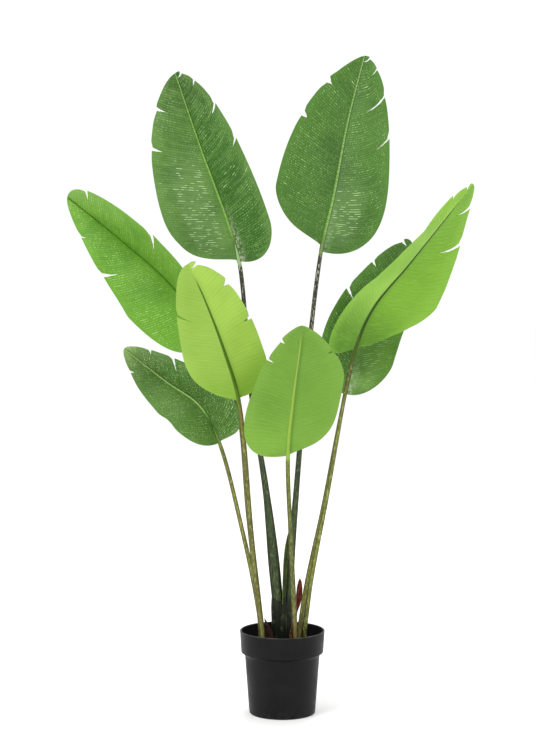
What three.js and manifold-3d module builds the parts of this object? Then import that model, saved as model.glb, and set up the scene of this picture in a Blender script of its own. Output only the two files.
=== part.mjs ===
// A bird of paradise plant in a round grower's pot: eight torn, folded blades on
// bare stalks that rise from soil around a short clasping trunk.
// Millimetres, +Z up. The origin is the middle of the pot's foot; the plant faces -Y.
import * as THREE from "three";
import { mergeVertices } from "three/addons/utils/BufferGeometryUtils.js";
import Module from "manifold-3d";

const wasm = await Module();
wasm.setup();

// Pot: a tapered body, a short bevel, then an upright band up to the rim.
const POT_HEIGHT = 150;
const RIM_RADIUS = 76.5;
const BAND_RADIUS = 74;
const BAND_Z = 112;
const BODY_RADIUS = 67.3;
const BODY_Z = 105;
const FOOT_RADIUS = 59.5;
const POT_WALL = 2.5;
const POT_FLOOR = 3;
const POT_SIDES = 40;
const FOOT_CHAMFER = 1.5;
const RIM_CHAMFER = 1.2;
const DRAIN_RADIUS = 5;
const DRAIN_CIRCLE = 40;
const DRAIN_COUNT = 5;

// Soil fill.
const SOIL_Z = 128;
const SOIL_ROUGHNESS = 1.6;
const ROOT_Z = 104;

// Clearances: between faces that meet, and round a foot in its hole.
const GAP = 0.3;
const HOLE_GAP = 0.4;
const FOOT_HOLE_GAP = 0.7;
const HOLE_SIDES = 12;

// Trunk: the dark sheath that holds the two tall stalks.
const TRUNK_TOP = 205;
const TRUNK_X = -1;
const TRUNK_Y = 4;
const TRUNK_SIDES = 20;

// Stalks: their rings lie flat at the first height and square to the stalk from the second.
const TUBE_SIDES = 8;
const RING_SPACING = 42;
const FLAT_RING_Z = 180;
const SQUARE_RING_Z = 300;
const ROUTE_DIVISIONS = 100;
const SHOULDER = 0.1;

// Blades: the sheet, and the midrib that stands out below it and fades towards the tip.
const SHEET = 0.9;
const RIB_HALF_WIDTH = 4;
const RIB_DEPTH = 4;
const RIB_FADE = 0.8;
const TILT_WIDTH = 10;

// Veins: how soon they fan out from the blade's base, how their sweep forward grows towards the
// tip, and how sharply they curl forward near the edge.
const VEIN_FAN = 0.05;
const SWEEP_POWER = 1.5;
const MARGIN_CURL = 4;

// The arch of each half, the wave of its edge, and how fast the lobes by the stalk die away.
const ARCH = 3.5;
const ARCH_FADE = 0.7;
const WAVE = 3;
const WAVE_RATE = 19;
const LOBE_FADE = 5;

// The corner that curls back where a tear reaches the edge, as shares of the half and the gap.
const TEAR_TRIM = 0.04;
const TEAR_LIFT = 0.4;

// How finely the sheet is split: shares of a half's width, and rows evenly spaced along the
// edges, without those too close to a tear.
const COLUMNS = [0, 0.33, 0.6, 0.8, 1];
const ROW_COUNT = 24;
const EDGE_SAMPLES = 2000;
const TEAR_CLEAR = 0.5;
const START_STEP = 0.006;
const SAME_POINT = 0.002;

// The way the upper face of a blade looks: at the viewer, or away so that the underside shows.
const TO_FRONT = [0, -1, 0];
const TO_BACK = [0, 1, 0];

// Each leaf: a straight foot that stands in a hole, a route from there to the leaf's tip, the
// stalk's radius at some heights, and the two halves of the blade.
// In a half: width out from the midrib; widest, the share of the blade's length where that is;
// base, how square the base is; taper and tip, the shape towards the tip; lobe, how far the base
// hangs back beside the stalk; start, where the half leaves the midrib; fold in degrees up from
// flat, from base to tip; veins, how far forward they sweep at the base and at the tip for the
// half's width, and how straight they run. A tear meets the edge at a share of the blade's
// length, and runs in along a vein as far as reach.
const LEAVES = [
  {
    name: "tall_left",
    color: "deep_blade",
    foot: { at: [-8.6, 4, 150], radius: 5.5 },
    upperFace: TO_FRONT,
    route: [
      [-8.6, 4, 205.3], [-28.4, 14, 393], [-55, 30, 567], [-78, 62, 812], [-97, 75, 878],
      [-150, 104, 1023], [-197, 132, 1160],
    ],
    bladeFrom: 3,
    right: {
      width: 87, widest: 0.16, base: 2, taper: 2.5, tip: 0.6,
      lobe: 30, start: 0, fold: [32], veins: [0.25, 1.3, 0.5],
    },
    left: {
      width: 109, widest: 0.3, base: 2, taper: 1.8, tip: 0.66,
      lobe: 15, start: 0.03, fold: [6], veins: [0.32, 1, 0.9],
    },
    tears: [
      { side: -1, at: 0.667, reach: 0.78, gap: 5 },
      { side: -1, at: 0.854, reach: 0.7, gap: 5 },
      { side: 1, at: 0.56, reach: 0.84, gap: 3 },
      { side: 1, at: 0.77, reach: 0.75, gap: 4 },
      { side: 1, at: 0.925, reach: 0.78, gap: 4 },
      { side: 1, at: 0.988, reach: 0.06, gap: 4 },
    ],
    stalk: [[205, 10.2], [265, 10.4], [295, 9.9], [347, 8], [388, 6.5], [455, 5.1], [810, 3.7]],
  },
  {
    name: "tall_right",
    color: "deep_blade",
    foot: { at: [11, 5, 150], radius: 4.5 },
    upperFace: TO_FRONT,
    route: [
      [11, 5, 205.3], [24, 18, 383], [42, 42, 590], [71, 80, 831], [94, 101, 931],
      [121, 126, 1069], [153, 150, 1194],
    ],
    bladeFrom: 3,
    right: {
      width: 99, widest: 0.28, base: 2.3, taper: 1.6, tip: 0.55,
      lobe: 10, start: 0, fold: [14], veins: [0.22, 1.5, 0.35],
    },
    left: {
      width: 111, widest: 0.23, base: 1.9, taper: 2, tip: 0.8,
      lobe: 12, start: 0.06, fold: [14], veins: [0.22, 0.9, 0.9],
    },
    tears: [
      { side: -1, at: 0.64, reach: 0.86, gap: 8 },
      { side: -1, at: 0.825, reach: 0.85, gap: 8 },
      { side: 1, at: 0.605, reach: 0.74, gap: 3 },
      { side: 1, at: 0.82, reach: 0.5, gap: 5 },
      { side: 1, at: 0.95, reach: 0.8, gap: 4 },
      { side: 1, at: 0.992, reach: 0.06, gap: 3 },
    ],
    stalk: [[205, 7.6], [290, 6.5], [345, 5.8], [460, 4.9], [830, 3.7]],
  },
  {
    name: "middle_left",
    color: "mid_blade",
    foot: { at: [-38, 9, 104], radius: 4 },
    upperFace: TO_FRONT,
    route: [
      [-40, 8, 157], [-62, 22, 355], [-82, 38, 554], [-127, 48, 673], [-200, 51, 769],
      [-298, 58, 856], [-391, 75, 930],
    ],
    bladeFrom: 3,
    right: {
      width: 99, widest: 0.58, base: 1.6, taper: 2.2, tip: 0.46,
      lobe: 0, start: 0, fold: [62], veins: [0.3, 0.7, 0.9],
    },
    left: {
      width: 98, widest: 0.37, base: 2.4, taper: 1.1, tip: 0.72,
      lobe: 26, start: 0, fold: [15], veins: [0.3, 1.5, 0.8],
    },
    tears: [
      { side: -1, at: 0.61, reach: 0.72, gap: 7 },
      { side: -1, at: 0.82, reach: 0.86, gap: 3 },
      { side: 1, at: 0.53, reach: 0.55, gap: 4 },
      { side: 1, at: 0.9, reach: 0.6, gap: 3 },
    ],
    stalk: [[157, 4], [560, 3.7], [673, 3.4]],
  },
  {
    name: "low_left",
    color: "deep_blade",
    foot: { at: [-35, -6, 104], radius: 4 },
    upperFace: TO_FRONT,
    route: [
      [-37.4, -6, 154], [-52.8, -3, 242], [-71, 0, 326], [-113, 10, 487], [-150, 55, 550],
      [-217, 112, 593], [-296, 160, 650],
    ],
    bladeFrom: 3,
    right: {
      width: 76, widest: 0.15, base: 3.2, taper: 1.9, tip: 0.7,
      lobe: 24, start: 0.02, fold: [40], veins: [0.35, 0.9, 1],
    },
    left: {
      width: 77, widest: 0.16, base: 1.8, taper: 1.7, tip: 0.73,
      lobe: 15, start: 0, fold: [42], veins: [0.3, 1.3, 0.8],
    },
    tears: [
      { side: 1, at: 0.56, reach: 0.6, gap: 4 },
      { side: 1, at: 0.8, reach: 0.8, gap: 3 },
      { side: -1, at: 0.83, reach: 0.85, gap: 4 },
    ],
    stalk: [[154, 4.2], [330, 4], [487, 3.4]],
  },
  {
    name: "front_left",
    color: "light_blade",
    foot: { at: [-34.5, -20, 104], radius: 4.7 },
    upperFace: TO_BACK,
    route: [
      [-36.2, -20.5, 150], [-54, -33, 309], [-77, -68, 569], [-100, -108, 655], [-132, -160, 746],
      [-158, -212, 808],
    ],
    bladeFrom: 2,
    right: {
      width: 73, widest: 0.32, base: 2.3, taper: 1.3, tip: 0.53,
      lobe: -14, start: 0.015, fold: [8], veins: [0.3, 1.3, 0.6],
    },
    left: {
      width: 66, widest: 0.21, base: 2.4, taper: 2.4, tip: 0.63,
      lobe: -4, start: 0.02, fold: [10], veins: [-0.15, 1.1, 1],
    },
    tears: [
      { side: -1, at: 0.48, reach: 0.75, gap: 4 },
      { side: -1, at: 0.75, reach: 0.78, gap: 8 },
      { side: -1, at: 0.972, reach: 0.08, gap: 5 },
      { side: 1, at: 0.66, reach: 0.62, gap: 3 },
    ],
    stalk: [[150, 4.8], [230, 5.2], [320, 4.9], [569, 3.8]],
  },
  {
    name: "front_low",
    color: "mid_blade",
    foot: { at: [24, -29, 104], radius: 4.4 },
    upperFace: TO_BACK,
    route: [
      [23, -30, 145], [15, -48, 312], [9, -78, 473], [17, -142, 576], [27, -218, 665],
      [31, -258, 707],
    ],
    bladeFrom: 2,
    right: {
      width: 80, widest: 0.2, base: 2.7, taper: 1.4, tip: 0.65,
      lobe: 18, start: 0, fold: [8], veins: [0, 1.1, 0.8],
    },
    left: {
      width: 82, widest: 0.58, base: 3.2, taper: 1.4, tip: 0.74,
      lobe: -14, start: 0.035, fold: [8], veins: [0.35, 1.1, 0.8],
    },
    tears: [
      { side: 1, at: 0.68, reach: 0.75, gap: 2.5 },
      { side: 1, at: 0.85, reach: 0.8, gap: 6 },
      { side: -1, at: 0.8, reach: 0.82, gap: 2.5 },
    ],
    stalk: [[145, 4.4], [200, 4.8], [300, 4.6], [345, 3.9], [473, 3.7]],
  },
  {
    name: "front_right",
    color: "light_blade",
    foot: { at: [39.2, -8, 104], radius: 3.9 },
    upperFace: TO_BACK,
    route: [
      [40.3, -8, 155], [51.8, -11, 243], [76.8, -17, 379], [128, -40, 657], [158, -56, 731],
      [221, -76, 810], [327, -100, 945],
    ],
    bladeFrom: 3,
    right: {
      width: 86, widest: 0.14, base: 3, taper: 2.6, tip: 0.8,
      lobe: 50, start: 0, fold: [52, 74, 80, 62], veins: [0.4, 1, 0.8],
    },
    left: {
      width: 108, widest: 0.39, base: 1.5, taper: 1.1, tip: 0.52,
      lobe: 12, start: 0.03, fold: [14, 29, 42, 66], veins: [0.4, 1.2, 0.7],
    },
    tears: [
      { side: -1, at: 0.73, reach: 0.5, gap: 5 },
      { side: -1, at: 0.9, reach: 0.5, gap: 4 },
      { side: 1, at: 0.9, reach: 0.8, gap: 3 },
      { side: 1, at: 0.975, reach: 0.3, gap: 5 },
    ],
    stalk: [[155, 4.3], [250, 4], [380, 3.7], [657, 3.5]],
  },
  {
    name: "back_right",
    color: "deep_blade",
    foot: { at: [29.2, 8, 104], radius: 4 },
    upperFace: TO_FRONT,
    route: [
      [32.2, 8, 155], [46.5, 14, 243], [73.5, 24, 368], [114.5, 44, 573], [144, 76, 677],
      [195, 106, 761], [240, 135, 851],
    ],
    bladeFrom: 3,
    right: {
      width: 77, widest: 0.22, base: 1.7, taper: 2, tip: 0.84,
      lobe: 9, start: 0, fold: [25], veins: [0.4, 1, 0.8],
    },
    left: {
      width: 76, widest: 0.46, base: 3.2, taper: 1.6, tip: 0.62,
      lobe: 2, start: 0, fold: [25], veins: [0.3, 0.8, 0.9],
    },
    tears: [
      { side: -1, at: 0.52, reach: 0.66, gap: 4 },
      { side: -1, at: 0.76, reach: 0.78, gap: 5 },
      { side: -1, at: 0.97, reach: 0.2, gap: 5 },
      { side: 1, at: 0.62, reach: 0.82, gap: 3 },
    ],
    stalk: [[155, 4.5], [225, 4.5], [270, 3.9], [370, 3.6], [573, 3.4]],
  },
];

// Small growths at the foot. Sections are [x, y, z, half-width along X, half-width along Y].
const GROWTHS = {
  young_spear: [
    [3.2, -4.8, 170, 2.4, 2.4], [3.2, -4.8, 205.3, 2.4, 2.4], [3.2, -4.8, 205.4, 3.4, 3.4],
    [4.6, -4.6, 243, 4.2, 3.6], [6.4, -4.5, 275, 4.5, 3.7], [8.2, -4.4, 300, 4.1, 3.4],
    [9.5, -4, 315, 2.5, 2.2], [10.3, -3.5, 326, 0.6, 0.6],
  ],
  red_bud: [
    [23.5, 24, 104, 2.6, 2.4], [23.5, 24, 160, 2.6, 2.4], [25.3, 24, 179, 2.7, 2.5],
    [27.8, 23.8, 190, 4.7, 4], [30.6, 23.4, 204, 6.1, 4.9], [31.6, 22.6, 222, 5.9, 4.8],
    [32, 22, 233, 3.7, 3.3], [32, 21.5, 240, 0.7, 0.7],
  ],
  left_bract: [
    [-22, -8, 104, 7.6, 3], [-22, -8, 133, 8, 3], [-24, -8.4, 148, 6.3, 2.6],
    [-28, -9, 162, 3.3, 1.8], [-32, -9, 173, 0.6, 0.6],
  ],
  front_bract: [
    [15, -22, 104, 3.4, 2.2], [15, -22, 132, 3.6, 2.3], [15.5, -22.5, 150, 2.8, 1.8],
    [16.5, -23, 167, 0.6, 0.6],
  ],
};

const COLORS = {
  pot: "#262626",
  soil: "#1c1813",
  trunk: "#34502f",
  tall_stalk: "#3a5534",
  stalk: "#7b7d38",
  deep_blade: "#3f7a33",
  mid_blade: "#67a436",
  light_blade: "#8cc04a",
  bud: "#6d3327",
};

const AXIS_X = new THREE.Vector3(1, 0, 0);
const AXIS_Y = new THREE.Vector3(0, 1, 0);
const AXIS_Z = new THREE.Vector3(0, 0, 1);

const group = new THREE.Group();
group.name = "potted_bird_of_paradise";

function addMesh(name, geometry, color) {
  const material = new THREE.MeshStandardMaterial({ color, roughness: 0.6, metalness: 0 });
  const mesh = new THREE.Mesh(geometry, material);
  mesh.name = name;
  group.add(mesh);
}

// three.js geometry to a manifold-3d solid and back.
function toSolid(geometry) {
  const bare = geometry.clone();
  bare.deleteAttribute("normal");
  bare.deleteAttribute("uv");
  const merged = mergeVertices(bare, 1e-4);
  return new wasm.Manifold(new wasm.Mesh({
    numProp: 3,
    vertProperties: new Float32Array(merged.attributes.position.array),
    triVerts: new Uint32Array(merged.index.array),
  }));
}

function toGeometry(solid) {
  const mesh = solid.getMesh();
  const geometry = new THREE.BufferGeometry();
  geometry.setAttribute("position", new THREE.Float32BufferAttribute(mesh.vertProperties, 3));
  geometry.setIndex(new THREE.Uint32BufferAttribute(mesh.triVerts, 1));
  geometry.computeVertexNormals();
  return geometry;
}

function cut(geometry, tools) {
  let solid = toSolid(geometry);
  for (const tool of tools) {
    solid = solid.subtract(toSolid(tool));
  }
  return toGeometry(solid);
}

// A closed surface from vertices and triangles.
function shell(points, triangles) {
  const coordinates = points.flatMap((p) => p.toArray());
  const geometry = new THREE.BufferGeometry();
  geometry.setAttribute("position", new THREE.Float32BufferAttribute(coordinates, 3));
  geometry.setIndex(triangles.flat());
  geometry.computeVertexNormals();
  return geometry;
}

// A closed tube through rings of equal size, each a list of points that run anticlockwise
// when looked at from the tube's far end.
function closedTube(rings) {
  const sides = rings[0].length;
  const points = rings.flat();
  const triangles = [];
  for (let i = 0; i + 1 < rings.length; i += 1) {
    for (let j = 0; j < sides; j += 1) {
      const k = (j + 1) % sides;
      const a = i * sides + j;
      const b = i * sides + k;
      const c = (i + 1) * sides + k;
      const d = (i + 1) * sides + j;
      triangles.push([a, b, c], [a, c, d]);
    }
  }
  const last = (rings.length - 1) * sides;
  for (let j = 1; j + 1 < sides; j += 1) {
    triangles.push([0, j + 1, j], [last, last + j, last + j + 1]);
  }
  return shell(points, triangles);
}

function ring(centre, across, along, radiusAcross, radiusAlong, sides) {
  return Array.from({ length: sides }, (_, j) => {
    const angle = (2 * Math.PI * (j + 0.5)) / sides;
    return centre.clone()
      .addScaledVector(across, radiusAcross * Math.cos(angle))
      .addScaledVector(along, radiusAlong * Math.sin(angle));
  });
}

// A growth from upright sections; grow widens it and lengthens it, for the hole it stands in.
function growthTube(sections, sides, grow = 0, extra = 0) {
  return closedTube(sections.map(([x, y, z, halfX, halfY], i) => {
    const centre = new THREE.Vector3(x, y, z - (i === 0 ? extra : 0));
    return ring(centre, AXIS_X, AXIS_Y, halfX + grow, halfY + grow, sides);
  }));
}

// Readings from a short list, at a share from 0 to 1 along it.
function along(list, share) {
  const place = share * (list.length - 1);
  const low = Math.min(Math.floor(place), Math.max(list.length - 2, 0));
  const high = Math.min(low + 1, list.length - 1);
  return THREE.MathUtils.lerp(list[low], list[high], place - low);
}

// The leaf's smooth route with the numbers that the stalk and blade both need.
function makeRoute(leaf) {
  const points = leaf.route.map((p) => new THREE.Vector3(...p));
  const curve = new THREE.CatmullRomCurve3(points, false, "centripetal");
  curve.arcLengthDivisions = ROUTE_DIVISIONS * (points.length - 1);
  const lengths = curve.getLengths();
  const total = lengths[lengths.length - 1];
  const stalkLength = lengths[leaf.bladeFrom * ROUTE_DIVISIONS];
  return { curve, total, stalkLength, bladeLength: total - stalkLength };
}

// The stalk's radius at a height, from its list of heights and radii.
function stalkRadius(leaf, z) {
  for (let i = 1; i < leaf.stalk.length; i += 1) {
    const [z0, r0] = leaf.stalk[i - 1];
    const [z1, r1] = leaf.stalk[i];
    if (z <= z1) return THREE.MathUtils.lerp(r0, r1, Math.max(z - z0, 0) / (z1 - z0));
  }
  return leaf.stalk[leaf.stalk.length - 1][1];
}

// Stalk: the straight foot, then rings that lie flat near the soil and square to it higher up.
function stalkTube(leaf, route) {
  const flatRing = (centre, radius) => ring(centre, AXIS_X, AXIS_Y, radius, radius, TUBE_SIDES);
  const bottom = new THREE.Vector3(...leaf.foot.at);
  const start = new THREE.Vector3(...leaf.route[0]);
  const rings = [flatRing(bottom, leaf.foot.radius), flatRing(start, leaf.foot.radius)];
  const wide = stalkRadius(leaf, start.z);
  if (wide > leaf.foot.radius) rings.push(flatRing(start.clone().setZ(start.z + SHOULDER), wide));
  const end = route.stalkLength - GAP;
  const steps = Math.round(end / RING_SPACING);
  for (let i = 1; i <= steps; i += 1) {
    const share = (end * i) / steps / route.total;
    const centre = route.curve.getPointAt(share);
    const upright = THREE.MathUtils.smoothstep(centre.z, FLAT_RING_Z, SQUARE_RING_Z);
    const axis = AXIS_Z.clone().lerp(route.curve.getTangentAt(share), upright).normalize();
    const across = AXIS_Y.clone().cross(axis).normalize();
    const radius = stalkRadius(leaf, centre.z);
    rings.push(ring(centre, across, axis.clone().cross(across), radius, radius, TUBE_SIDES));
  }
  return closedTube(rings);
}

// The plain hole that a foot stands in, open at its top.
function footHole(leaf) {
  const radius = leaf.foot.radius + FOOT_HOLE_GAP;
  const ends = [new THREE.Vector3(...leaf.foot.at), new THREE.Vector3(...leaf.route[0])];
  ends[0].z -= GAP;
  ends[1].z += GAP;
  return closedTube(ends.map((centre) => ring(centre, AXIS_X, AXIS_Y, radius, radius, HOLE_SIDES)));
}

// Half-width of one side of a blade at a share along it.
function halfWidth(half, s) {
  const rib = RIB_HALF_WIDTH * (1 - s);
  const u = THREE.MathUtils.clamp((s - half.start) / (1 - half.start), 0, 1);
  let fill;
  if (u < half.widest) {
    fill = (1 - ((half.widest - u) / half.widest) ** half.base) ** (1 / half.base);
  } else {
    fill = Math.max(1 - ((u - half.widest) / (1 - half.widest)) ** half.taper, 0) ** half.tip;
  }
  return rib + Math.max(half.width - rib, 0) * fill;
}

// Where a vein meets the edge, from where it leaves the midrib.
function edgePlace(half, bladeLength, root) {
  const [low, high] = half.veins;
  const sweep = low + (high - low) * root ** SWEEP_POWER;
  const spread = (1 - Math.exp(-root / VEIN_FAN)) * (1 - root ** 2);
  return root + (sweep * spread * half.width) / bladeLength;
}

// Where the vein that meets the edge at a place leaves the midrib.
function rootOf(half, bladeLength, place) {
  let low = 0;
  let high = 1;
  for (let i = 0; i < 40; i += 1) {
    const middle = (low + high) / 2;
    if (edgePlace(half, bladeLength, middle) < place) low = middle;
    else high = middle;
  }
  return (low + high) / 2;
}

// How much of its way forward a vein has run at a share of its way out.
function veinRun(half, share) {
  const straight = half.veins[2];
  return straight * share + (1 - straight) * share ** MARGIN_CURL;
}

// Where the rows leave the midrib, so that they are evenly spaced along the edges.
function rowRoots(leaf, bladeLength) {
  const lengths = [0];
  const edge = (half, i) => {
    const place = edgePlace(half, bladeLength, i / EDGE_SAMPLES);
    return new THREE.Vector2(place * bladeLength, halfWidth(half, place));
  };
  for (let i = 1; i <= EDGE_SAMPLES; i += 1) {
    const steps = [leaf.right, leaf.left].map((half) => edge(half, i).distanceTo(edge(half, i - 1)));
    lengths.push(lengths[i - 1] + (steps[0] + steps[1]) / 2);
  }
  const roots = Array.from({ length: ROW_COUNT }, (_, row) => {
    const wanted = (lengths[EDGE_SAMPLES] * row) / ROW_COUNT;
    return lengths.findIndex((length) => length >= wanted) / EDGE_SAMPLES;
  });
  return [...roots, 1];
}

// A point in the middle of the sheet, and the sheet's normal there.
function bladePoint(leaf, route, side, s, out, share, edgeAt) {
  const half = side > 0 ? leaf.right : leaf.left;
  const u = THREE.MathUtils.clamp((route.stalkLength + s * route.bladeLength) / route.total, 0, 1);
  const tangent = route.curve.getTangentAt(u);
  const normal = new THREE.Vector3(...leaf.upperFace);
  normal.addScaledVector(tangent, -normal.dot(tangent)).normalize();
  const across = tangent.clone().cross(normal).multiplyScalar(side);
  const fold = THREE.MathUtils.degToRad(along(half.fold, s));
  const swell = WAVE * share ** 3 * Math.sin(Math.PI * s);
  const wave = swell * Math.sin(WAVE_RATE * s + side + route.total);
  const arch = ARCH * Math.sin(Math.PI * share) * Math.sin(Math.PI * Math.min(s, 1)) ** ARCH_FADE;
  const past = Math.max(out - RIB_HALF_WIDTH, 0) / half.width;
  const hang = half.lobe * past * (1 - edgeAt) ** LOBE_FADE;
  const point = route.curve.getPointAt(u)
    .addScaledVector(across, out * Math.cos(fold))
    .addScaledVector(normal, out * Math.sin(fold) + wave + arch)
    .addScaledVector(tangent, -hang);
  const tilt = fold * Math.min(out / TILT_WIDTH, 1);
  const square = normal.clone().multiplyScalar(Math.cos(tilt)).addScaledVector(across, -Math.sin(tilt));
  return { point, square };
}

// The shares of a row, with the nearest inner one moved to where a tear ends.
function splitShares(tear) {
  const shares = [...COLUMNS];
  if (!tear) return { shares, apex: shares.length };
  let apex = 1;
  for (let j = 2; j < shares.length - 1; j += 1) {
    if (Math.abs(shares[j] - tear.reach) < Math.abs(shares[apex] - tear.reach)) apex = j;
  }
  shares[apex] = tear.reach;
  return { shares, apex };
}

// A blade: rows follow the veins, from the midrib out and forward to the edge. The two faces
// are split into the same triangles, and walls close the edges and the tears.
function bladeShell(leaf, route) {
  const halfOf = (side) => (side > 0 ? leaf.right : leaf.left);
  const tears = leaf.tears.map((tear) => {
    return { ...tear, root: rootOf(halfOf(tear.side), route.bladeLength, tear.at) };
  });
  const even = rowRoots(leaf, route.bladeLength);
  const clear = TEAR_CLEAR / ROW_COUNT;
  const rows = even.filter((s) => s === 1 || tears.every((t) => Math.abs(t.root - s) > clear));
  for (const half of [leaf.right, leaf.left]) {
    for (const place of half.start > 0 ? [half.start, half.start + START_STEP] : []) {
      rows.push(rootOf(half, route.bladeLength, place));
    }
  }
  rows.push(...tears.map((tear) => tear.root));
  rows.sort((a, b) => a - b);

  const middle = [];
  const normals = [];
  const depths = [];
  const seen = new Map();
  const vertex = (side, s, out, share, edgeAt, depth) => {
    const { point, square } = bladePoint(leaf, route, side, s, out, share, edgeAt);
    const key = point.toArray().map((v) => Math.round(v / SAME_POINT)).join(" ");
    if (!seen.has(key)) {
      seen.set(key, middle.length);
      middle.push(point);
      normals.push(square);
      depths.push(depth);
    }
    return seen.get(key);
  };

  // One row as two lists of vertices, for the strip below it and for the strip above it.
  const makeRow = (root) => {
    const rib = RIB_HALF_WIDTH * (1 - root);
    const below = [];
    const above = [];
    for (const side of [-1, 1]) {
      const half = halfOf(side);
      const tear = tears.find((t) => t.side === side && t.root === root);
      const { shares, apex } = splitShares(tear);
      const at = edgePlace(half, route.bladeLength, root);
      const reach = halfWidth(half, at);
      const place = (t, shift) => {
        const s = root + (at - root) * veinRun(half, t) + shift / route.bladeLength;
        return vertex(side, THREE.MathUtils.clamp(s, 0, 1), rib + Math.max(reach - rib, 0) * t, t, at, 0);
      };
      const opening = (share) => (0.5 * tear.gap * (share - tear.reach)) / (1 - tear.reach);
      const low = shares.map((share, j) => place(share, j > apex ? -opening(share) : 0));
      const high = shares.map((share, j) => {
        if (j <= apex) return low[j];
        if (share < 1) return place(share, opening(share));
        return place(share - TEAR_TRIM, opening(share) + TEAR_LIFT * tear.gap);
      });
      if (side < 0) {
        below.push(...low.reverse());
        above.push(...high.reverse());
        const centre = vertex(1, root, 0, 0, at, RIB_DEPTH * (1 - root) ** RIB_FADE);
        below.push(centre);
        above.push(centre);
      } else {
        below.push(...low);
        above.push(...high);
      }
    }
    return { below, above };
  };

  const grid = rows.map(makeRow);
  const face = [];
  const addTriangle = (a, b, c) => {
    if (a !== b && b !== c && a !== c) face.push([a, b, c]);
  };
  for (let i = 0; i + 1 < grid.length; i += 1) {
    const lower = grid[i].above;
    const upper = grid[i + 1].below;
    for (let j = 0; j + 1 < lower.length; j += 1) {
      addTriangle(lower[j], lower[j + 1], upper[j + 1]);
      addTriangle(lower[j], upper[j + 1], upper[j]);
    }
  }

  const count = middle.length;
  const half = SHEET / 2;
  const top = middle.map((p, i) => p.clone().addScaledVector(normals[i], half));
  const under = middle.map((p, i) => p.clone().addScaledVector(normals[i], -half - depths[i]));
  const triangles = [...face, ...face.map(([a, b, c]) => [a + count, c + count, b + count])];
  const edges = new Set(face.flatMap(([a, b, c]) => [`${a} ${b}`, `${b} ${c}`, `${c} ${a}`]));
  for (const edge of edges) {
    const [a, b] = edge.split(" ").map(Number);
    if (!edges.has(`${b} ${a}`)) triangles.push([a, b + count, b], [a, a + count, b + count]);
  }
  return shell([...top, ...under], triangles);
}

// Pot: outer profile up, inner profile down.
const innerBand = BAND_RADIUS - POT_WALL;
const innerRim = RIM_RADIUS - POT_WALL;
const potProfile = [
  [0, 0],
  [FOOT_RADIUS - FOOT_CHAMFER, 0],
  [FOOT_RADIUS, FOOT_CHAMFER],
  [BODY_RADIUS, BODY_Z],
  [BAND_RADIUS, BAND_Z],
  [RIM_RADIUS, POT_HEIGHT - RIM_CHAMFER],
  [RIM_RADIUS - RIM_CHAMFER / 2, POT_HEIGHT],
  [innerRim, POT_HEIGHT],
  [innerBand, BAND_Z + 1],
  [BODY_RADIUS - POT_WALL, BODY_Z],
  [FOOT_RADIUS - POT_WALL, POT_FLOOR],
  [0, POT_FLOOR],
].map(([r, z]) => new THREE.Vector2(r, z));
const potBody = new THREE.LatheGeometry(potProfile, POT_SIDES).rotateX(Math.PI / 2);
const drains = Array.from({ length: DRAIN_COUNT }, (_, i) => {
  const angle = (2 * Math.PI * i) / DRAIN_COUNT;
  return new THREE.CylinderGeometry(DRAIN_RADIUS, DRAIN_RADIUS, 3 * POT_FLOOR, HOLE_SIDES)
    .rotateX(Math.PI / 2)
    .translate(DRAIN_CIRCLE * Math.cos(angle), DRAIN_CIRCLE * Math.sin(angle), POT_FLOOR / 2);
});
addMesh("pot", cut(potBody, drains), COLORS.pot);

// Trunk, with plain holes for the ends of the two tall stalks and of the young spear.
const trunkSections = [
  [TRUNK_X, TRUNK_Y, ROOT_Z, 15.8, 13],
  [TRUNK_X, TRUNK_Y, 130, 16, 13],
  [TRUNK_X, TRUNK_Y, 165, 17.2, 13.4],
  [TRUNK_X, TRUNK_Y, TRUNK_TOP - 2, 18.6, 13.6],
  [TRUNK_X, TRUNK_Y, TRUNK_TOP, 17.8, 12.8],
];
const tallLeaves = LEAVES.filter((leaf) => leaf.foot.at[2] > ROOT_Z);
const soilLeaves = LEAVES.filter((leaf) => leaf.foot.at[2] === ROOT_Z);
const spearFoot = GROWTHS.young_spear.slice(0, 2).map(([x, y, z, ...halves]) => [x, y, z + GAP, ...halves]);
const spearHole = growthTube(spearFoot, HOLE_SIDES, HOLE_GAP, 2 * GAP);
const trunkSolid = growthTube(trunkSections, TRUNK_SIDES);
addMesh("trunk", cut(trunkSolid, [...tallLeaves.map(footHole), spearHole]), COLORS.trunk);

// Stalks and blades.
for (const leaf of LEAVES) {
  const route = makeRoute(leaf);
  const stalkColor = tallLeaves.includes(leaf) ? COLORS.tall_stalk : COLORS.stalk;
  addMesh(`stalk_${leaf.name}`, stalkTube(leaf, route), stalkColor);
  addMesh(`blade_${leaf.name}`, bladeShell(leaf, route), COLORS[leaf.color]);
}

// Spear, bud and bracts.
for (const [name, sections] of Object.entries(GROWTHS)) {
  const color = name === "young_spear" ? COLORS.stalk : COLORS.bud;
  addMesh(name, growthTube(sections, TUBE_SIDES), color);
}

// Soil: clear of the pot's wall, rough on top, with a plain hole for everything that stands in it.
const innerSlope = (RIM_RADIUS - BAND_RADIUS) / (POT_HEIGHT - BAND_Z);
const soilRadius = innerBand + (SOIL_Z - BAND_Z) * innerSlope - 3 * GAP;
const soilProfile = [
  [0, POT_FLOOR + GAP],
  [FOOT_RADIUS - POT_WALL - 2 * GAP, POT_FLOOR + GAP],
  [BODY_RADIUS - POT_WALL - 2 * GAP, BODY_Z],
  [innerBand - 3 * GAP, BAND_Z + 1],
  [soilRadius, SOIL_Z],
  [62, SOIL_Z + 1],
  [50, SOIL_Z],
  [38, SOIL_Z + 1],
  [25, SOIL_Z],
  [12, SOIL_Z],
  [0, SOIL_Z],
].map(([r, z]) => new THREE.Vector2(r, z));
const soil = new THREE.LatheGeometry(soilProfile, POT_SIDES).rotateX(Math.PI / 2);
const spots = soil.attributes.position;
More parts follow.
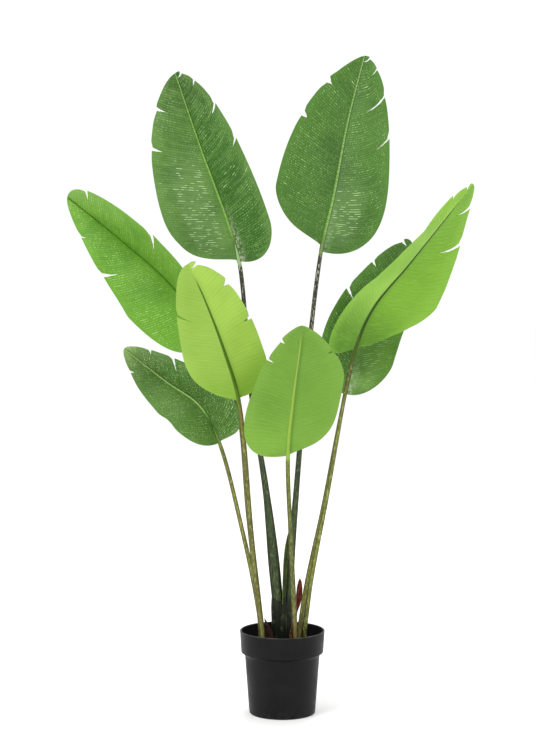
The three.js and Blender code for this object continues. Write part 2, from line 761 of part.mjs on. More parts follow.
for (let i = 0; i < spots.count; i += 1) {
  const x = spots.getX(i);
  const y = spots.getY(i);
  const r = Math.hypot(x, y);
  if (spots.getZ(i) > SOIL_Z - 1 && r > 1 && r < soilRadius - 1) {
    const bump = SOIL_ROUGHNESS * Math.sin(x * 0.31 + 2) * Math.cos(y * 0.27 - 1);
    spots.setZ(i, spots.getZ(i) + bump);
  }
}
const soilHoles = [growthTube(trunkSections, TRUNK_SIDES, HOLE_GAP, GAP), ...soilLeaves.map(footHole)];
for (const name of ["red_bud", "left_bract", "front_bract"]) {
  soilHoles.push(growthTube(GROWTHS[name].slice(0, 2), HOLE_SIDES, HOLE_GAP, GAP));
}
addMesh("soil", cut(soil, soilHoles), COLORS.soil);

export default group;
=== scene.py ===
"""Looks of a potted bird of paradise: fine leaves with ribbed, torn blades on smooth stalks,
a clasping sheath, a grower's pot and crumbly soil. Lengths in the tables are millimetres."""
import math
from types import SimpleNamespace

import bmesh
import bpy
import numpy as np
from mathutils import Matrix, Vector, noise


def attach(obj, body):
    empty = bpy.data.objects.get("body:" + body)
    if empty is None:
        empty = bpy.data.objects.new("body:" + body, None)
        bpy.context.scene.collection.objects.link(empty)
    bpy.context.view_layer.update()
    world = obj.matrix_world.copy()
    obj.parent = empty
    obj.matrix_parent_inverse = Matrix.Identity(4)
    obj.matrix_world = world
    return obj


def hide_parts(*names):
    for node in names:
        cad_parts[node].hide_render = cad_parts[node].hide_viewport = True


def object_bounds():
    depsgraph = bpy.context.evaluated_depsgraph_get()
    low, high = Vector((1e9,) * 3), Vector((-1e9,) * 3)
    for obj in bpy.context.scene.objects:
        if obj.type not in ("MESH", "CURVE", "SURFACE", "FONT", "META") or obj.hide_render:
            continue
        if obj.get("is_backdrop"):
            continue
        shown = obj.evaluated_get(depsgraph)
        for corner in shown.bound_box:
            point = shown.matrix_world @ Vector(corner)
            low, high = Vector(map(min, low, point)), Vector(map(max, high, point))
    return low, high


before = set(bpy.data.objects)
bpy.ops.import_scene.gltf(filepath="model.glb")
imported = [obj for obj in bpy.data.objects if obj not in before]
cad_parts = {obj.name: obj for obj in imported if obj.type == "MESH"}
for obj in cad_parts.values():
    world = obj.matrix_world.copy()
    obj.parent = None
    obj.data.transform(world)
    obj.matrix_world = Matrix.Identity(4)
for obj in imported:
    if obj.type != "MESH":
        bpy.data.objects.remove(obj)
cad_box = [list(corner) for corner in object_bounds()]

MM = 0.001
BODY = "root"

# Blades: the same forms as the solids, split finer. Shares run from 0 to 1.
RIB_HALF_WIDTH = 4
VEIN_FAN = 0.05
SWEEP_POWER = 1.5
MARGIN_CURL = 4
WAVE = 3
WAVE_RATE = 19
ARCH = 3.5
ARCH_FADE = 0.7
TILT_WIDTH = 10
LOBE_FADE = 5
TEAR_TRIM = 0.04
TEAR_LIFT = 0.4
ROUTE_DIVISIONS = 100

# Fine forms that only this script adds to a blade.
SHEET = 0.5
VEIN_SPACING = 7.6
ROWS_PER_VEIN = 4
VEIN_HEIGHT = 0.16

# The midrib: a channel between two shoulders on the upper face, and a bulge under it.
RIB_CHANNEL = 1.3
CHANNEL_WIDTH = 2
SHOULDER = 0.55
SHOULDER_PLACE = 4.2
SHOULDER_WIDTH = 1.6
RIB_BULGE = 3.2
BULGE_WIDTH = 2.6
RIB_THINNING = 0.72

# Tears, and the columns that split a blade across.
TEAR_SPREAD = 13
TEAR_ROUGHNESS = 0.25
FLAP_LIFT = 1.3
RIB_COLUMNS = (0.25, 0.5, 0.75)
SHARE_COLUMNS = 22
SHARE_POWER = 0.9
EDGE_SAMPLES = 8001

# Stalks. Near a blade a stalk lies a little behind the midrib, and its end tapers under it.
STALK_SIDES = 28
RING_STEP = 7
FOOT_RINGS = 8
TUCK = 34
TUCK_TAPER = 0.75
SETBACK = 1.4
SETBACK_REACH = 20
GROOVE_DEPTH = 0.26
GROOVE_WIDTH = 0.5
GROOVE_FROM = 0.45
GROOVE_REACH = 0.5
WOBBLE = 0.035
WOBBLE_RATE = 0.018

# Pot.
POT_HEIGHT = 150
RIM_RADIUS = 76.5
BAND_RADIUS = 74
BAND_Z = 112
BODY_RADIUS = 67.3
BODY_Z = 105
FOOT_RADIUS = 59.5
POT_WALL = 2.5
POT_FLOOR = 3
POT_SEGMENTS = 192
DRAIN_RADIUS = 5
DRAIN_CIRCLE = 40
DRAIN_COUNT = 5

# Soil and sheath.
SOIL_Z = 127
SOIL_RINGS = 130
SOIL_SEGMENTS = 260
SOIL_ROUGH = 3.2
LUMP_RATE = 0.05
CLOD_RATE = 0.16
MOUND = 5
MOUND_WIDTH = 34
CRUMBS = 1500
SHEATH_VOXEL = 0.9

# Materials of the blades: rows of dots to a vein, and the screen colours that blades share,
# among them a painted sheen and the painted shadows beside the midrib.
DOT_ROWS = 1.6
GLEAM = (150, 168, 132)
BLOOM = (176, 186, 158)
RIB_SHADE = (30, 62, 22)
UNDER_SHADE = (84, 128, 34)

# Studio, in metres. The focal length is in pixels of a picture PICTURE_HEIGHT high.
FLOOR_SIZE = 40
FOCAL_PIXELS = 1737
PICTURE_HEIGHT = 750
SENSOR = 36
CAMERA_PLACE = (-0.0258, -3.1, 0.8)
CAMERA_PITCH = 3.5
LAMP_TARGET = (0, 0, 0.7)


def half(width, widest, base, taper, tip, lobe, start, fold, veins):
    """One half of a blade, with the same numbers as its solid."""
    return SimpleNamespace(**locals())


def leaf(name, foot, foot_radius, front, route, right, left, tears, stalk, looks, blade_from=3):
    """A leaf: tears are (side, place, reach, gap), looks are its slot and materials, and the blade
    starts at the route's point blade_from, counted from 0."""
    return SimpleNamespace(**locals())


LEAVES = [
    leaf(
        "tall_left", foot=(-8.6, 4, 150), foot_radius=8.5, front=True,
        route=[(-8.6, 4, 205.3), (-28.4, 14, 393), (-55, 30, 567), (-78, 62, 812),
               (-97, 75, 878), (-150, 104, 1023), (-197, 132, 1160)],
        right=half(87, 0.16, 2, 2.5, 0.6, 30, 0, (32,), (0.25, 1.3, 0.5)),
        left=half(109, 0.3, 2, 1.8, 0.66, 15, 0.03, (6,), (0.32, 1, 0.9)),
        tears=[(-1, 0.667, 0.78, 5), (-1, 0.854, 0.7, 5), (1, 0.56, 0.84, 3),
               (1, 0.77, 0.75, 4), (1, 0.925, 0.78, 4), (1, 0.988, 0.06, 4)],
        stalk=[(205, 10.2), (265, 10.4), (295, 9.9), (347, 8), (388, 6.5), (455, 5.1), (810, 3.7)],
        looks=("deep_blade", "blade_deep_left", "back_pale", "stem_tall"),
    ),
    leaf(
        "tall_right", foot=(11, 5, 150), foot_radius=6.2, front=True,
        route=[(11, 5, 205.3), (24, 18, 383), (42, 42, 590), (71, 80, 831),
               (94, 101, 931), (121, 126, 1069), (153, 150, 1194)],
        right=half(99, 0.28, 2.3, 1.6, 0.55, 10, 0, (14,), (0.22, 1.5, 0.35)),
        left=half(111, 0.23, 1.9, 2, 0.8, 12, 0.06, (14,), (0.22, 0.9, 0.9)),
        tears=[(-1, 0.64, 0.86, 8), (-1, 0.825, 0.85, 8), (1, 0.605, 0.74, 3),
               (1, 0.82, 0.5, 5), (1, 0.95, 0.8, 4), (1, 0.992, 0.06, 3)],
        stalk=[(205, 7.6), (290, 6.5), (345, 5.8), (460, 4.9), (830, 3.7)],
        looks=("deep_blade", "blade_deep_right", "back_pale", "stem_tall_right"),
    ),
    leaf(
        "middle_left", foot=(-38, 9, 104), foot_radius=4, front=True,
        route=[(-40, 8, 157), (-62, 22, 355), (-82, 38, 554), (-127, 48, 673),
               (-200, 51, 769), (-298, 58, 856), (-391, 75, 930)],
        right=half(99, 0.58, 1.6, 2.2, 0.46, 0, 0, (62,), (0.3, 0.7, 0.9)),
        left=half(98, 0.37, 2.4, 1.1, 0.72, 26, 0, (15,), (0.3, 1.5, 0.8)),
        tears=[(-1, 0.61, 0.72, 7), (-1, 0.82, 0.86, 3), (1, 0.53, 0.55, 4), (1, 0.9, 0.6, 3)],
        stalk=[(157, 4), (560, 3.7), (673, 3.4)],
        looks=("mid_blade", "blade_fresh", "back_pale", "stem_olive"),
    ),
    leaf(
        "low_left", foot=(-35, -6, 104), foot_radius=4, front=True,
        route=[(-37.4, -6, 154), (-52.8, -3, 242), (-71, 0, 326), (-113, 10, 487), (-150, 55, 550),
               (-217, 112, 593), (-296, 160, 650)],
        right=half(76, 0.15, 3.2, 1.9, 0.7, 24, 0.02, (40,), (0.35, 0.9, 1)),
        left=half(77, 0.16, 1.8, 1.7, 0.73, 15, 0, (42,), (0.3, 1.3, 0.8)),
        tears=[(1, 0.56, 0.6, 4), (1, 0.8, 0.8, 3), (-1, 0.83, 0.85, 4)],
        stalk=[(154, 4.2), (330, 4), (487, 3.4)],
        looks=("deep_blade", "blade_deep_low", "back_pale", "stem_olive"),
    ),
    leaf(
        "front_left", foot=(-34.5, -20, 104), foot_radius=4.7, front=False, blade_from=2,
        route=[(-36.2, -20.5, 150), (-54, -33, 309), (-77, -68, 569), (-100, -108, 655),
               (-132, -160, 746), (-158, -212, 808)],
        right=half(73, 0.32, 2.3, 1.3, 0.53, -14, 0.015, (8,), (0.3, 1.3, 0.6)),
        left=half(66, 0.21, 2.4, 2.4, 0.63, -4, 0.02, (10,), (-0.15, 1.1, 1)),
        tears=[(-1, 0.48, 0.75, 4), (-1, 0.75, 0.78, 8), (-1, 0.972, 0.08, 5), (1, 0.66, 0.62, 3)],
        stalk=[(150, 4.8), (230, 5.2), (320, 4.9), (569, 3.8)],
        looks=("light_blade", "blade_fresh", "back_bright", "stem_bright"),
    ),
    leaf(
        "front_low", foot=(24, -29, 104), foot_radius=4.4, front=False, blade_from=2,
        route=[(23, -30, 145), (15, -48, 312), (9, -78, 473), (17, -142, 576),
               (27, -218, 665), (31, -258, 707)],
        right=half(80, 0.2, 2.7, 1.4, 0.65, 18, 0, (8,), (0, 1.1, 0.8)),
        left=half(82, 0.58, 3.2, 1.4, 0.74, -14, 0.035, (8,), (0.35, 1.1, 0.8)),
        tears=[(1, 0.68, 0.75, 2.5), (1, 0.85, 0.8, 6), (-1, 0.8, 0.82, 2.5)],
        stalk=[(145, 4.4), (200, 4.8), (300, 4.6), (345, 3.9), (473, 3.7)],
        looks=("mid_blade", "blade_fresh", "back_soft", "stem_soft"),
    ),
    leaf(
        "front_right", foot=(39.2, -8, 104), foot_radius=3.9, front=False,
        route=[(40.3, -8, 155), (51.8, -11, 243), (76.8, -17, 379), (128, -40, 657),
               (158, -56, 731), (221, -76, 810), (327, -100, 945)],
        right=half(86, 0.14, 3, 2.6, 0.8, 50, 0, (52, 74, 80, 62), (0.4, 1, 0.8)),
        left=half(108, 0.39, 1.5, 1.1, 0.52, 12, 0.03, (14, 29, 42, 66), (0.4, 1.2, 0.7)),
        tears=[(-1, 0.73, 0.5, 5), (-1, 0.9, 0.5, 4), (1, 0.9, 0.8, 3), (1, 0.975, 0.3, 5)],
        stalk=[(155, 4.3), (250, 4), (380, 3.7), (657, 3.5)],
        looks=("light_blade", "blade_fresh", "back_clear", "stem_clear"),
    ),
    leaf(
        "back_right", foot=(29.2, 8, 104), foot_radius=4, front=True,
        route=[(32.2, 8, 155), (46.5, 14, 243), (73.5, 24, 368), (114.5, 44, 573),
               (144, 76, 677), (195, 106, 761), (240, 135, 851)],
        right=half(77, 0.22, 1.7, 2, 0.84, 9, 0, (25,), (0.4, 1, 0.8)),
        left=half(76, 0.46, 3.2, 1.6, 0.62, 2, 0, (25,), (0.3, 0.8, 0.9)),
        tears=[(-1, 0.52, 0.66, 4), (-1, 0.76, 0.78, 5), (-1, 0.97, 0.2, 5), (1, 0.62, 0.82, 3)],
        stalk=[(155, 4.5), (225, 4.5), (270, 3.9), (370, 3.6), (573, 3.4)],
        looks=("deep_blade", "blade_deep_back", "back_pale", "stem_olive"),
    ),
]


def unit(vectors):
    """Vectors at length 1."""
    return vectors / np.linalg.norm(vectors, axis=-1, keepdims=True)


class Route:
    """A smooth centripetal curve through a leaf's points, read by length along it."""

    def __init__(self, points):
        given = np.array(points, float)
        given = np.vstack([2 * given[0] - given[1], given, 2 * given[-1] - given[-2]])
        made = []
        for a, b, c, d in zip(given, given[1:], given[2:], given[3:]):
            before, here, after = (math.sqrt(np.linalg.norm(q - p)) for p, q in ((a, b), (b, c), (c, d)))
            leave = ((b - a) / before - (c - a) / (before + here) + (c - b) / here) * here
            arrive = ((c - b) / here - (d - b) / (here + after) + (d - c) / after) * here
            t = np.arange(ROUTE_DIVISIONS)[:, None] / ROUTE_DIVISIONS
            made.append(b + leave * t + (3 * (c - b) - 2 * leave - arrive) * t ** 2
                        + (2 * (b - c) + leave + arrive) * t ** 3)
        self.points = np.vstack(made + [given[-2:-1]])
        steps = np.linalg.norm(np.diff(self.points, axis=0), axis=1)
        self.lengths = np.concatenate([[0], np.cumsum(steps)])
        self.total = self.lengths[-1]

    def at(self, length):
        """Points at lengths from the start."""
        return np.stack([np.interp(length, self.lengths, axis) for axis in self.points.T], -1)

    def tangent(self, length, reach=2):
        """Directions of the curve at lengths from the start."""
        ahead = self.at(np.clip(length + reach, 0, self.total))
        behind = self.at(np.clip(length - reach, 0, self.total))
        return unit(ahead - behind)


def prepare(item):
    """Adds a leaf's curve and the lengths that its stalk and blade share."""
    item.curve = Route(item.route)
    item.stalk_length = item.curve.lengths[item.blade_from * ROUTE_DIVISIONS]
    item.blade_length = item.curve.total - item.stalk_length
    item.facing = np.array([0.0, -1.0 if item.front else 1.0, 0.0])


def half_width(part, s):
    """Width of one half of a blade at shares along it."""
    rib = RIB_HALF_WIDTH * (1 - s)
    u = np.clip((s - part.start) / (1 - part.start), 0, 1)
    low = np.clip((part.widest - u) / part.widest, 0, 1)
    high = np.clip((u - part.widest) / (1 - part.widest), 0, 1)
    fill = np.where(u < part.widest, (1 - low ** part.base) ** (1 / part.base),
                    (1 - high ** part.taper) ** part.tip)
    return rib + np.maximum(part.width - rib, 0) * fill


def sheet_points(item, side, s, out, share, row):
    """Points in the middle of the sheet, and the sheet's normals there."""
    part = item.right if side > 0 else item.left
    length = item.stalk_length + s * item.blade_length
    tangent = item.curve.tangent(length)
    normal = unit(item.facing - (tangent @ item.facing)[..., None] * tangent)
    across = np.cross(tangent, normal) * side
    fold = np.radians(np.interp(s, np.linspace(0, 1, len(part.fold)), part.fold))
    swell = WAVE * share ** 3 * np.sin(np.pi * s)
    rise = swell * np.sin(WAVE_RATE * s + side + item.curve.total)
    arch = np.sin(np.pi * np.clip(s, 0.02, 1)) ** ARCH_FADE
    rise += ARCH * np.sin(np.pi * np.clip(share, 0, 1)) * arch
    past = np.maximum(out - RIB_HALF_WIDTH, 0) / part.width
    hang = part.lobe * past * (1 - row) ** LOBE_FADE
    point = (item.curve.at(length) + across * (out * np.cos(fold))[..., None]
             + normal * (out * np.sin(fold) + rise)[..., None] - tangent * hang[..., None])
    tilt = fold * np.minimum(out / TILT_WIDTH, 1)
    square = normal * np.cos(tilt)[..., None] - across * np.sin(tilt)[..., None]
    return point, square


def edge_place(item, part, root):
    """Where a vein meets the edge, from where it leaves the midrib."""
    low, high, _ = part.veins
    sweep = low + (high - low) * root ** SWEEP_POWER
    spread = (1 - np.exp(-root / VEIN_FAN)) * (1 - root ** 2)
    return root + sweep * spread * part.width / item.blade_length


def vein_run(part, share):
    """How much of its way forward a vein has run at a share of its way out."""
    straight = part.veins[2]
    return straight * share + (1 - straight) * share ** MARGIN_CURL


def row_roots(item):
    """Where the rows leave the midrib, so that they are evenly spaced along the edges."""
    fine = np.linspace(0, 1, EDGE_SAMPLES)
    steps = 0
    for part in (item.right, item.left):
        place = edge_place(item, part, fine)
        steps = steps + 0.5 * np.hypot(np.diff(place) * item.blade_length, np.diff(half_width(part, place)))
    edge = np.concatenate([[0], np.cumsum(steps)])
    veins = round(edge[-1] / VEIN_SPACING)
    return np.interp(np.linspace(0, edge[-1], veins * ROWS_PER_VEIN + 1), edge, fine)


def rib_section(s, out):
    """Heights of the upper and under face beside the midrib, from the plain sheet."""
    slim = 1 - RIB_THINNING * s
    channel = -RIB_CHANNEL * slim * np.exp(-(out / (CHANNEL_WIDTH * slim)) ** 2)
    shoulder = SHOULDER * slim * np.exp(-((out - SHOULDER_PLACE * slim) / SHOULDER_WIDTH) ** 2)
    bulge = -RIB_BULGE * slim * np.exp(-(out / (BULGE_WIDTH * slim)) ** 4)
    return channel + shoulder, bulge + 0.4 * shoulder


def half_grid(item, side, roots, seed):
    """Both versions of half a blade's points, and the column where each torn row's tear ends."""
    part = item.right if side > 0 else item.left
    places = edge_place(item, part, roots)
    rib = RIB_HALF_WIDTH * (1 - roots)
    reach = half_width(part, places)
    shares = np.linspace(0, 1, SHARE_COLUMNS + 1) ** SHARE_POWER
    ribs = np.array((0,) + RIB_COLUMNS)
    beside = np.zeros((len(places), len(ribs)))

    shift, trim, flap = np.zeros((3, 2, len(places), len(shares)))
    apexes = {}
    random = np.random.default_rng(seed)
    for tear_side, at, tear_reach, gap in item.tears:
        if tear_side != side:
            continue
        row = int(np.argmin(np.abs(places - at)))
        apex = int(np.clip(np.argmin(np.abs(shares - tear_reach)), 1, len(shares) - 2))
        apexes[row] = apex + len(ribs)
        opening = np.clip((shares - shares[apex]) / (1 - shares[apex]), 0, 1)
        rough = 1 + TEAR_ROUGHNESS * random.standard_normal(len(shares))
        away = np.abs(places - places[row])[:, None] * item.blade_length
        fade = np.exp(-(away / TEAR_SPREAD) ** 2)
        # Version 0 has the torn row below its tear, and version 1 has it above.
        for version in (0, 1):
            below = (np.arange(len(places)) < row + 1 - version)[:, None]
            sign = np.where(below, -1.0, 1.0)
            shift[version] += sign * fade * 0.5 * gap * (opening * rough)
            upper = np.where(below, 0.0, np.exp(-(away / (0.7 * TEAR_SPREAD)) ** 2))
            shift[version] += upper * TEAR_LIFT * gap * shares ** 10
            trim[version] += upper * TEAR_TRIM * shares ** 4
            flap[version] += sign * fade * FLAP_LIFT * opening

    veins = np.arange(len(places)) / ROWS_PER_VEIN
    ridge = VEIN_HEIGHT * np.cos(2 * np.pi * veins)[:, None]
    grids = []
    for version in (0, 1):
        share = shares - trim[version]
        s = roots[:, None] + (places - roots)[:, None] * vein_run(part, np.clip(share, 0, 1))
        s = s + shift[version] / item.blade_length
        out = rib[:, None] + np.maximum(reach - rib, 0)[:, None] * share
        s = np.clip(np.hstack([beside + roots[:, None], s]), 0, 1)
        out = np.hstack([rib[:, None] * ribs, out])
        share = np.hstack([beside, share])
        lift = np.hstack([beside, flap[version]])
        point, square = sheet_points(item, side, s, out, share, places[:, None])
        corrugation = ridge * np.sin(np.pi * np.clip(share, 0, 1)) ** 0.5
        high, low = rib_section(s, out)
        body = lift + corrugation
        top = point + square * (body + high + SHEET / 2)[..., None]
        under = point + square * (body + low - SHEET / 2)[..., None]
        grids.append(SimpleNamespace(top=top, under=under, vein=veins, out=out, s=s, share=share))
    return grids, apexes


def blade_mesh(item, seed):
    """Vertices, faces, face materials and two UV maps of a blade."""
    roots = row_roots(item)
    tops, unders, veins, spots = [], [], [], []

    def add(grid, i, j, side):
        tops.append(grid.top[i, j])
        unders.append(grid.under[i, j])
        veins.append((grid.vein[i], grid.out[i, j] / 100))
        spots.append((grid.s[i, j], 0.5 + 0.5 * side * grid.share[i, j]))
        return len(veins) - 1

    quads, centre = [], []
    for side in (-1, 1):
        (plain, torn), apexes = half_grid(item, side, roots, seed + side)
        columns = plain.top.shape[1]
        below, above = [], []
        for i in range(len(roots)):
            if side < 0:
                centre.append(add(plain, i, 0, side))
            row = [centre[i]] + [add(plain, i, j, side) for j in range(1, columns)]
            other = list(row)
            if i in apexes:
                other[apexes[i] + 1:] = [add(torn, i, j, side) for j in range(apexes[i] + 1, columns)]
            below.append(row)
            above.append(other)
        for i in range(len(roots) - 1):
            lower = above[i]
            upper = below[i + 1]
            for j in range(columns - 1):
                quad = (lower[j], lower[j + 1], upper[j + 1], upper[j])
                quads.append(quad if side > 0 else quad[::-1])

    count = len(veins)
    edges = dict.fromkeys(pair for a, b, c, d in quads for pair in ((a, b), (b, c), (c, d), (d, a)))
    walls = [(a, a + count, b + count, b) for a, b in edges if (b, a) not in edges]
    faces = quads + [(d + count, c + count, b + count, a + count) for a, b, c, d in quads] + walls
    kinds = [0] * len(quads) + [1] * len(quads) + [2] * len(walls)
    vertices = np.array(tops + unders) * MM
    return vertices, faces, kinds, {"veins": veins * 2, "place": spots * 2}


def link(name, data):
    """A new object of the scene."""
    made = bpy.data.objects.new(name, data)
    bpy.context.scene.collection.objects.link(made)
    return made


def make_object(name, vertices, faces, materials, slot, replaces, kinds=None, maps=None, sharp=50):
    """A finished piece: one closed mesh at the origin that rides on the part's body."""
    mesh = bpy.data.meshes.new(name)
    mesh.from_pydata(vertices, [], faces)
    for material in materials:
        mesh.materials.append(material)
    if kinds:
        mesh.polygons.foreach_set("material_index", kinds)
    corners = np.empty(len(mesh.loops), np.int32)
    mesh.loops.foreach_get("vertex_index", corners)
    for map_name, values in (maps or {}).items():
        layer = mesh.uv_layers.new(name=map_name)
        layer.data.foreach_set("uv", np.array(values, np.float32)[corners].ravel())
    mesh.shade_smooth()
    mesh.set_sharp_from_angle(angle=math.radians(sharp))
    mesh.update()
    made = link(name, mesh)
    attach(made, BODY)
    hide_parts(*replaces)
    return made


def ring_faces(rings, sides):
    """Four-sided faces between each ring of points and the next."""
    faces = []
    for low in range(0, (rings - 1) * sides, sides):
        for j in range(sides):
            k = (j + 1) % sides
            faces.append((low + j, low + k, low + sides + k, low + sides + j))
    return faces


def tube_faces(rings, sides):
    """Faces of a closed tube whose rings run anticlockwise when looked at from its far end."""
    far = (rings - 1) * sides
    return ring_faces(rings, sides) + [tuple(reversed(range(sides))), tuple(range(far, far + sides))]


def linear(red, green, blue):
    """A screen colour, 0 to 255 each, as Blender's own linear values."""
    shares = (value / 255 for value in (red, green, blue))
    return (*(s / 12.92 if s <= 0.04045 else ((s + 0.055) / 1.055) ** 2.4 for s in shares), 1)


class Value:
    """The output of a node, which can be added, multiplied and fed to further nodes."""

    def __init__(self, nodes, socket):
        self.nodes = nodes
        self.socket = socket

    def __add__(self, other):
        return self.nodes.math("ADD", self, other)

    def __sub__(self, other):
        return self.nodes.math("SUBTRACT", self, other)

    def __rsub__(self, other):
        return self.nodes.math("SUBTRACT", other, self)

    def __mul__(self, other):
        return self.nodes.math("MULTIPLY", self, other)

    def __abs__(self):
        return self.nodes.math("ABSOLUTE", self)

    def fold(self):
        """Distance to the nearest whole number, from 0 to 0.5."""
        return self.nodes.math("PINGPONG", self, 0.5)

    def step(self, low, high, to_low=0, to_high=1):
        """Smooth change from to_low at low to to_high at high."""
        inputs = {"Value": self, "From Min": low, "From Max": high, "To Min": to_low, "To Max": to_high}
        return self.nodes.value("MapRange", inputs, interpolation_type="SMOOTHSTEP")

    def split(self):
        """The x, y and z of a vector."""
        node = self.nodes.put("SeparateXYZ", {0: self})
        return [Value(self.nodes, socket) for socket in node.outputs]

    def noise(self, scale=1, detail=3, roughness=0.5):
        inputs = {"Vector": self, "Scale": scale, "Detail": detail, "Roughness": roughness}
        return self.nodes.value("TexNoise", inputs)

    def grain(self, across, along, detail=3):
        """Noise that is drawn out upwards, with its scales across and along."""
        x, y, z = self.split()
        return self.nodes.join(x * across, y * across, z * along).noise(detail=detail)


class Nodes:
    """A material under construction. Three numbers given to a socket are a screen colour."""

    def __init__(self, name, color):
        self.color = color
        self.material = bpy.data.materials.new(name)
        self.material.use_nodes = True
        self.tree = self.material.node_tree
        self.tree.nodes.clear()

    def put(self, kind, inputs, **settings):
        node = self.tree.nodes.new("ShaderNode" + kind)
        for key, value in settings.items():
            setattr(node, key, value)
        for key, value in inputs.items():
            if isinstance(value, Value):
                self.tree.links.new(value.socket, node.inputs[key])
            else:
                node.inputs[key].default_value = linear(*value) if isinstance(value, tuple) else value
        return node

    def value(self, kind, inputs=None, output=0, **settings):
        return Value(self, self.put(kind, inputs or {}, **settings).outputs[output])

    def math(self, operation, *values):
        return self.value("Math", dict(enumerate(values)), operation=operation)

    def mix(self, share, first, second):
        return self.value("Mix", {0: share, 6: first, 7: second}, 2, data_type="RGBA")

    def paint(self, share, tone):
        """Lays a share of another colour over the colour so far."""
        self.color = self.mix(share, self.color, tone)

    def join(self, x, y, z=0):
        return self.value("CombineXYZ", {0: x, 1: y, 2: z})

    def place(self, kind="Object"):
        return self.value("TexCoord", output=kind)

    def map(self, name):
        return self.value("UVMap", uv_map=name).split()

    def surface(self, rough, shine, height, depth, strength):
        """A plain surface with fine relief: depth is how deep it is, in metres."""
        normal = self.value("Bump", {"Height": height, "Distance": depth, "Strength": strength})
        return self.value("BsdfPrincipled", {"Base Color": self.color, "Roughness": rough,
                                             "Normal": normal, "Specular IOR Level": shine})

    def matte(self, rough):
        """The finished material where a surface needs no relief."""
        shader = self.value("BsdfPrincipled", {"Base Color": self.color, "Roughness": rough})
        return self.finish(shader)

    def finish(self, shader):
        self.put("OutputMaterial", {0: shader})
        return self.material


def vein_lines(nodes):
    """Values that both faces of a blade use: vein number, distance out, and places on the blade."""
    number, out, _ = nodes.map("veins")
    along, across, _ = nodes.map("place")
    side = nodes.math("GREATER_THAN", across, 0.5)
    return SimpleNamespace(number=number, out=out * 100, along=along, side=side,
                           share=abs(across * 2 - 1), off=number.fold(), shift=side * 217)


def along_veins(nodes, at, rate, step_out, detail, seed=0):
    """Noise that is drawn out along the veins: its own value on each vein, slow on the way out."""
    row = nodes.math("ROUND", at.number * rate) * 3.71 + (at.shift + seed)
    return nodes.join(row, at.out * step_out).noise(detail=detail)


def window(value, middle, reach):
    """1 near the middle of a range, falling softly to 0 at its ends."""
    return abs(value - middle).step(reach, 0.4 * reach)


def lamina(nodes, pale, rough, shine, height, depth, through):
    """The shader of a thin leaf: a satin face that also lets light through."""
    front = nodes.surface(rough, shine, height, depth, 0.7)
    behind = nodes.value("BsdfTranslucent", {"Color": nodes.mix(0.5, nodes.color, pale)})
    return nodes.finish(nodes.value("MixShader", {0: through, 1: front, 2: behind}))


def upper_face(name, left, right, tip, dark, pale, fleck, rib, rib_width, gleam, dotted, bloom, root,
               root_end):
    """Upper face of a blade: rows of light dots along its veins, dashes along them that are painted
    glints, a painted sheen, and a fine midrib with a painted shadow line beside it.

    gleam is (side, place, share, reach, strength) of the painted sheen, where the glint
    dashes are long, and dotted is how strong the dots are on the left and the right half.
    """
    nodes = Nodes(name, left)
    at = vein_lines(nodes)
    spot = nodes.place()
    patch = spot.noise(13, 4)
    # Each half has its own colour: where the two differ, the difference is painted light and shade on the
    # two folded halves.
    nodes.paint(at.side, right)
    nodes.paint(at.along.step(0.55, 1, 0, 0.8), tip)
    nodes.paint(patch.step(0.34, 0.6, 0.6, 0), dark)
    streak = nodes.join(at.number * 1.1 + at.shift, at.out * 0.03).noise(detail=2)
    nodes.paint(streak.step(0.4, 0.75, 0, 0.55), pale)
    nodes.paint(at.share.step(0.7, 1, 0, 0.45), pale)

    # Painted sheen: a whitish grey-green laid thinly over a patch of one half; the glint dashes are longest
    # there and in a few random patches.
    side, place, share, reach, strength = gleam
    on_side = nodes.math("COMPARE", at.side, side, 0.1)
    zone = window(at.along, place, reach) * window(at.share, share, 0.42) * on_side * strength
    nodes.paint(zone * 0.12, GLEAM)
    zone = nodes.math("MAXIMUM", zone, spot.noise(12, 2).step(0.5, 0.66, 0, 0.5))

    # Rows of light dots along the veins, and dashes that are painted glints on the vein ribs.
    rows = (at.number * DOT_ROWS).fold()
    long = along_veins(nodes, at, DOT_ROWS, 0.068, 2)
    dash = (long - zone.step(0, 1, 0.72, 0.515)).step(0, 0.06) * rows.step(0.16, 0.08)
    short = along_veins(nodes, at, DOT_ROWS, 0.72, 0, 31)
    faint = spot.noise(26, 2).step(0.35, 0.65, 0.4, 1) * at.side.step(0, 1, *dotted)
    dot = short.step(0.57, 0.63) * (faint * zone.step(0.3, 1, 1, 0.35)) * rows.step(0.2, 0.12)
    inner = at.share.step(0, 0.05) * at.share.step(0.98, 0.9)
    marks = nodes.math("MAXIMUM", dash, dot) * inner
    nodes.paint(rows.step(0.2, 0.5, 0, 0.25) * inner, dark)
    nodes.paint(marks * 0.92, fleck)

    # Whitish streaks near the base, beside the midrib on one half.
    near = at.along.step(0.34, 0.04) * at.out.step(22, 3)
    haze = near * spot.noise(170, 3).step(0.38, 0.6) * (at.side * bloom)
    nodes.paint(haze, BLOOM)
    rim = at.out - at.along.step(0, 1, rib_width, 0.5 * rib_width)
    # Painted shadow: a dark line along one side of the midrib.
    nodes.paint(rim.step(2.6, 0.8, 0, 0.8) * at.side, RIB_SHADE)
    beads = nodes.join(at.along * 130, 0).noise(detail=2)
    line = nodes.mix(beads.step(0.4, 0.6, 0.55, 0), rib, nodes.color)
    line = nodes.mix(at.along.step(root_end, 0.4 * root_end), line, root)
    nodes.paint(rim.step(0.5, -0.3, 0, 0.95), line)

    fine = (at.number * 4).fold()
    height = marks * 0.5 + fine * 0.9 + spot.noise(900, 2) * 0.5
    return lamina(nodes, pale, patch.step(0.3, 0.7, 0.4, 0.5), 0.2, height, 0.00018, 0.14)


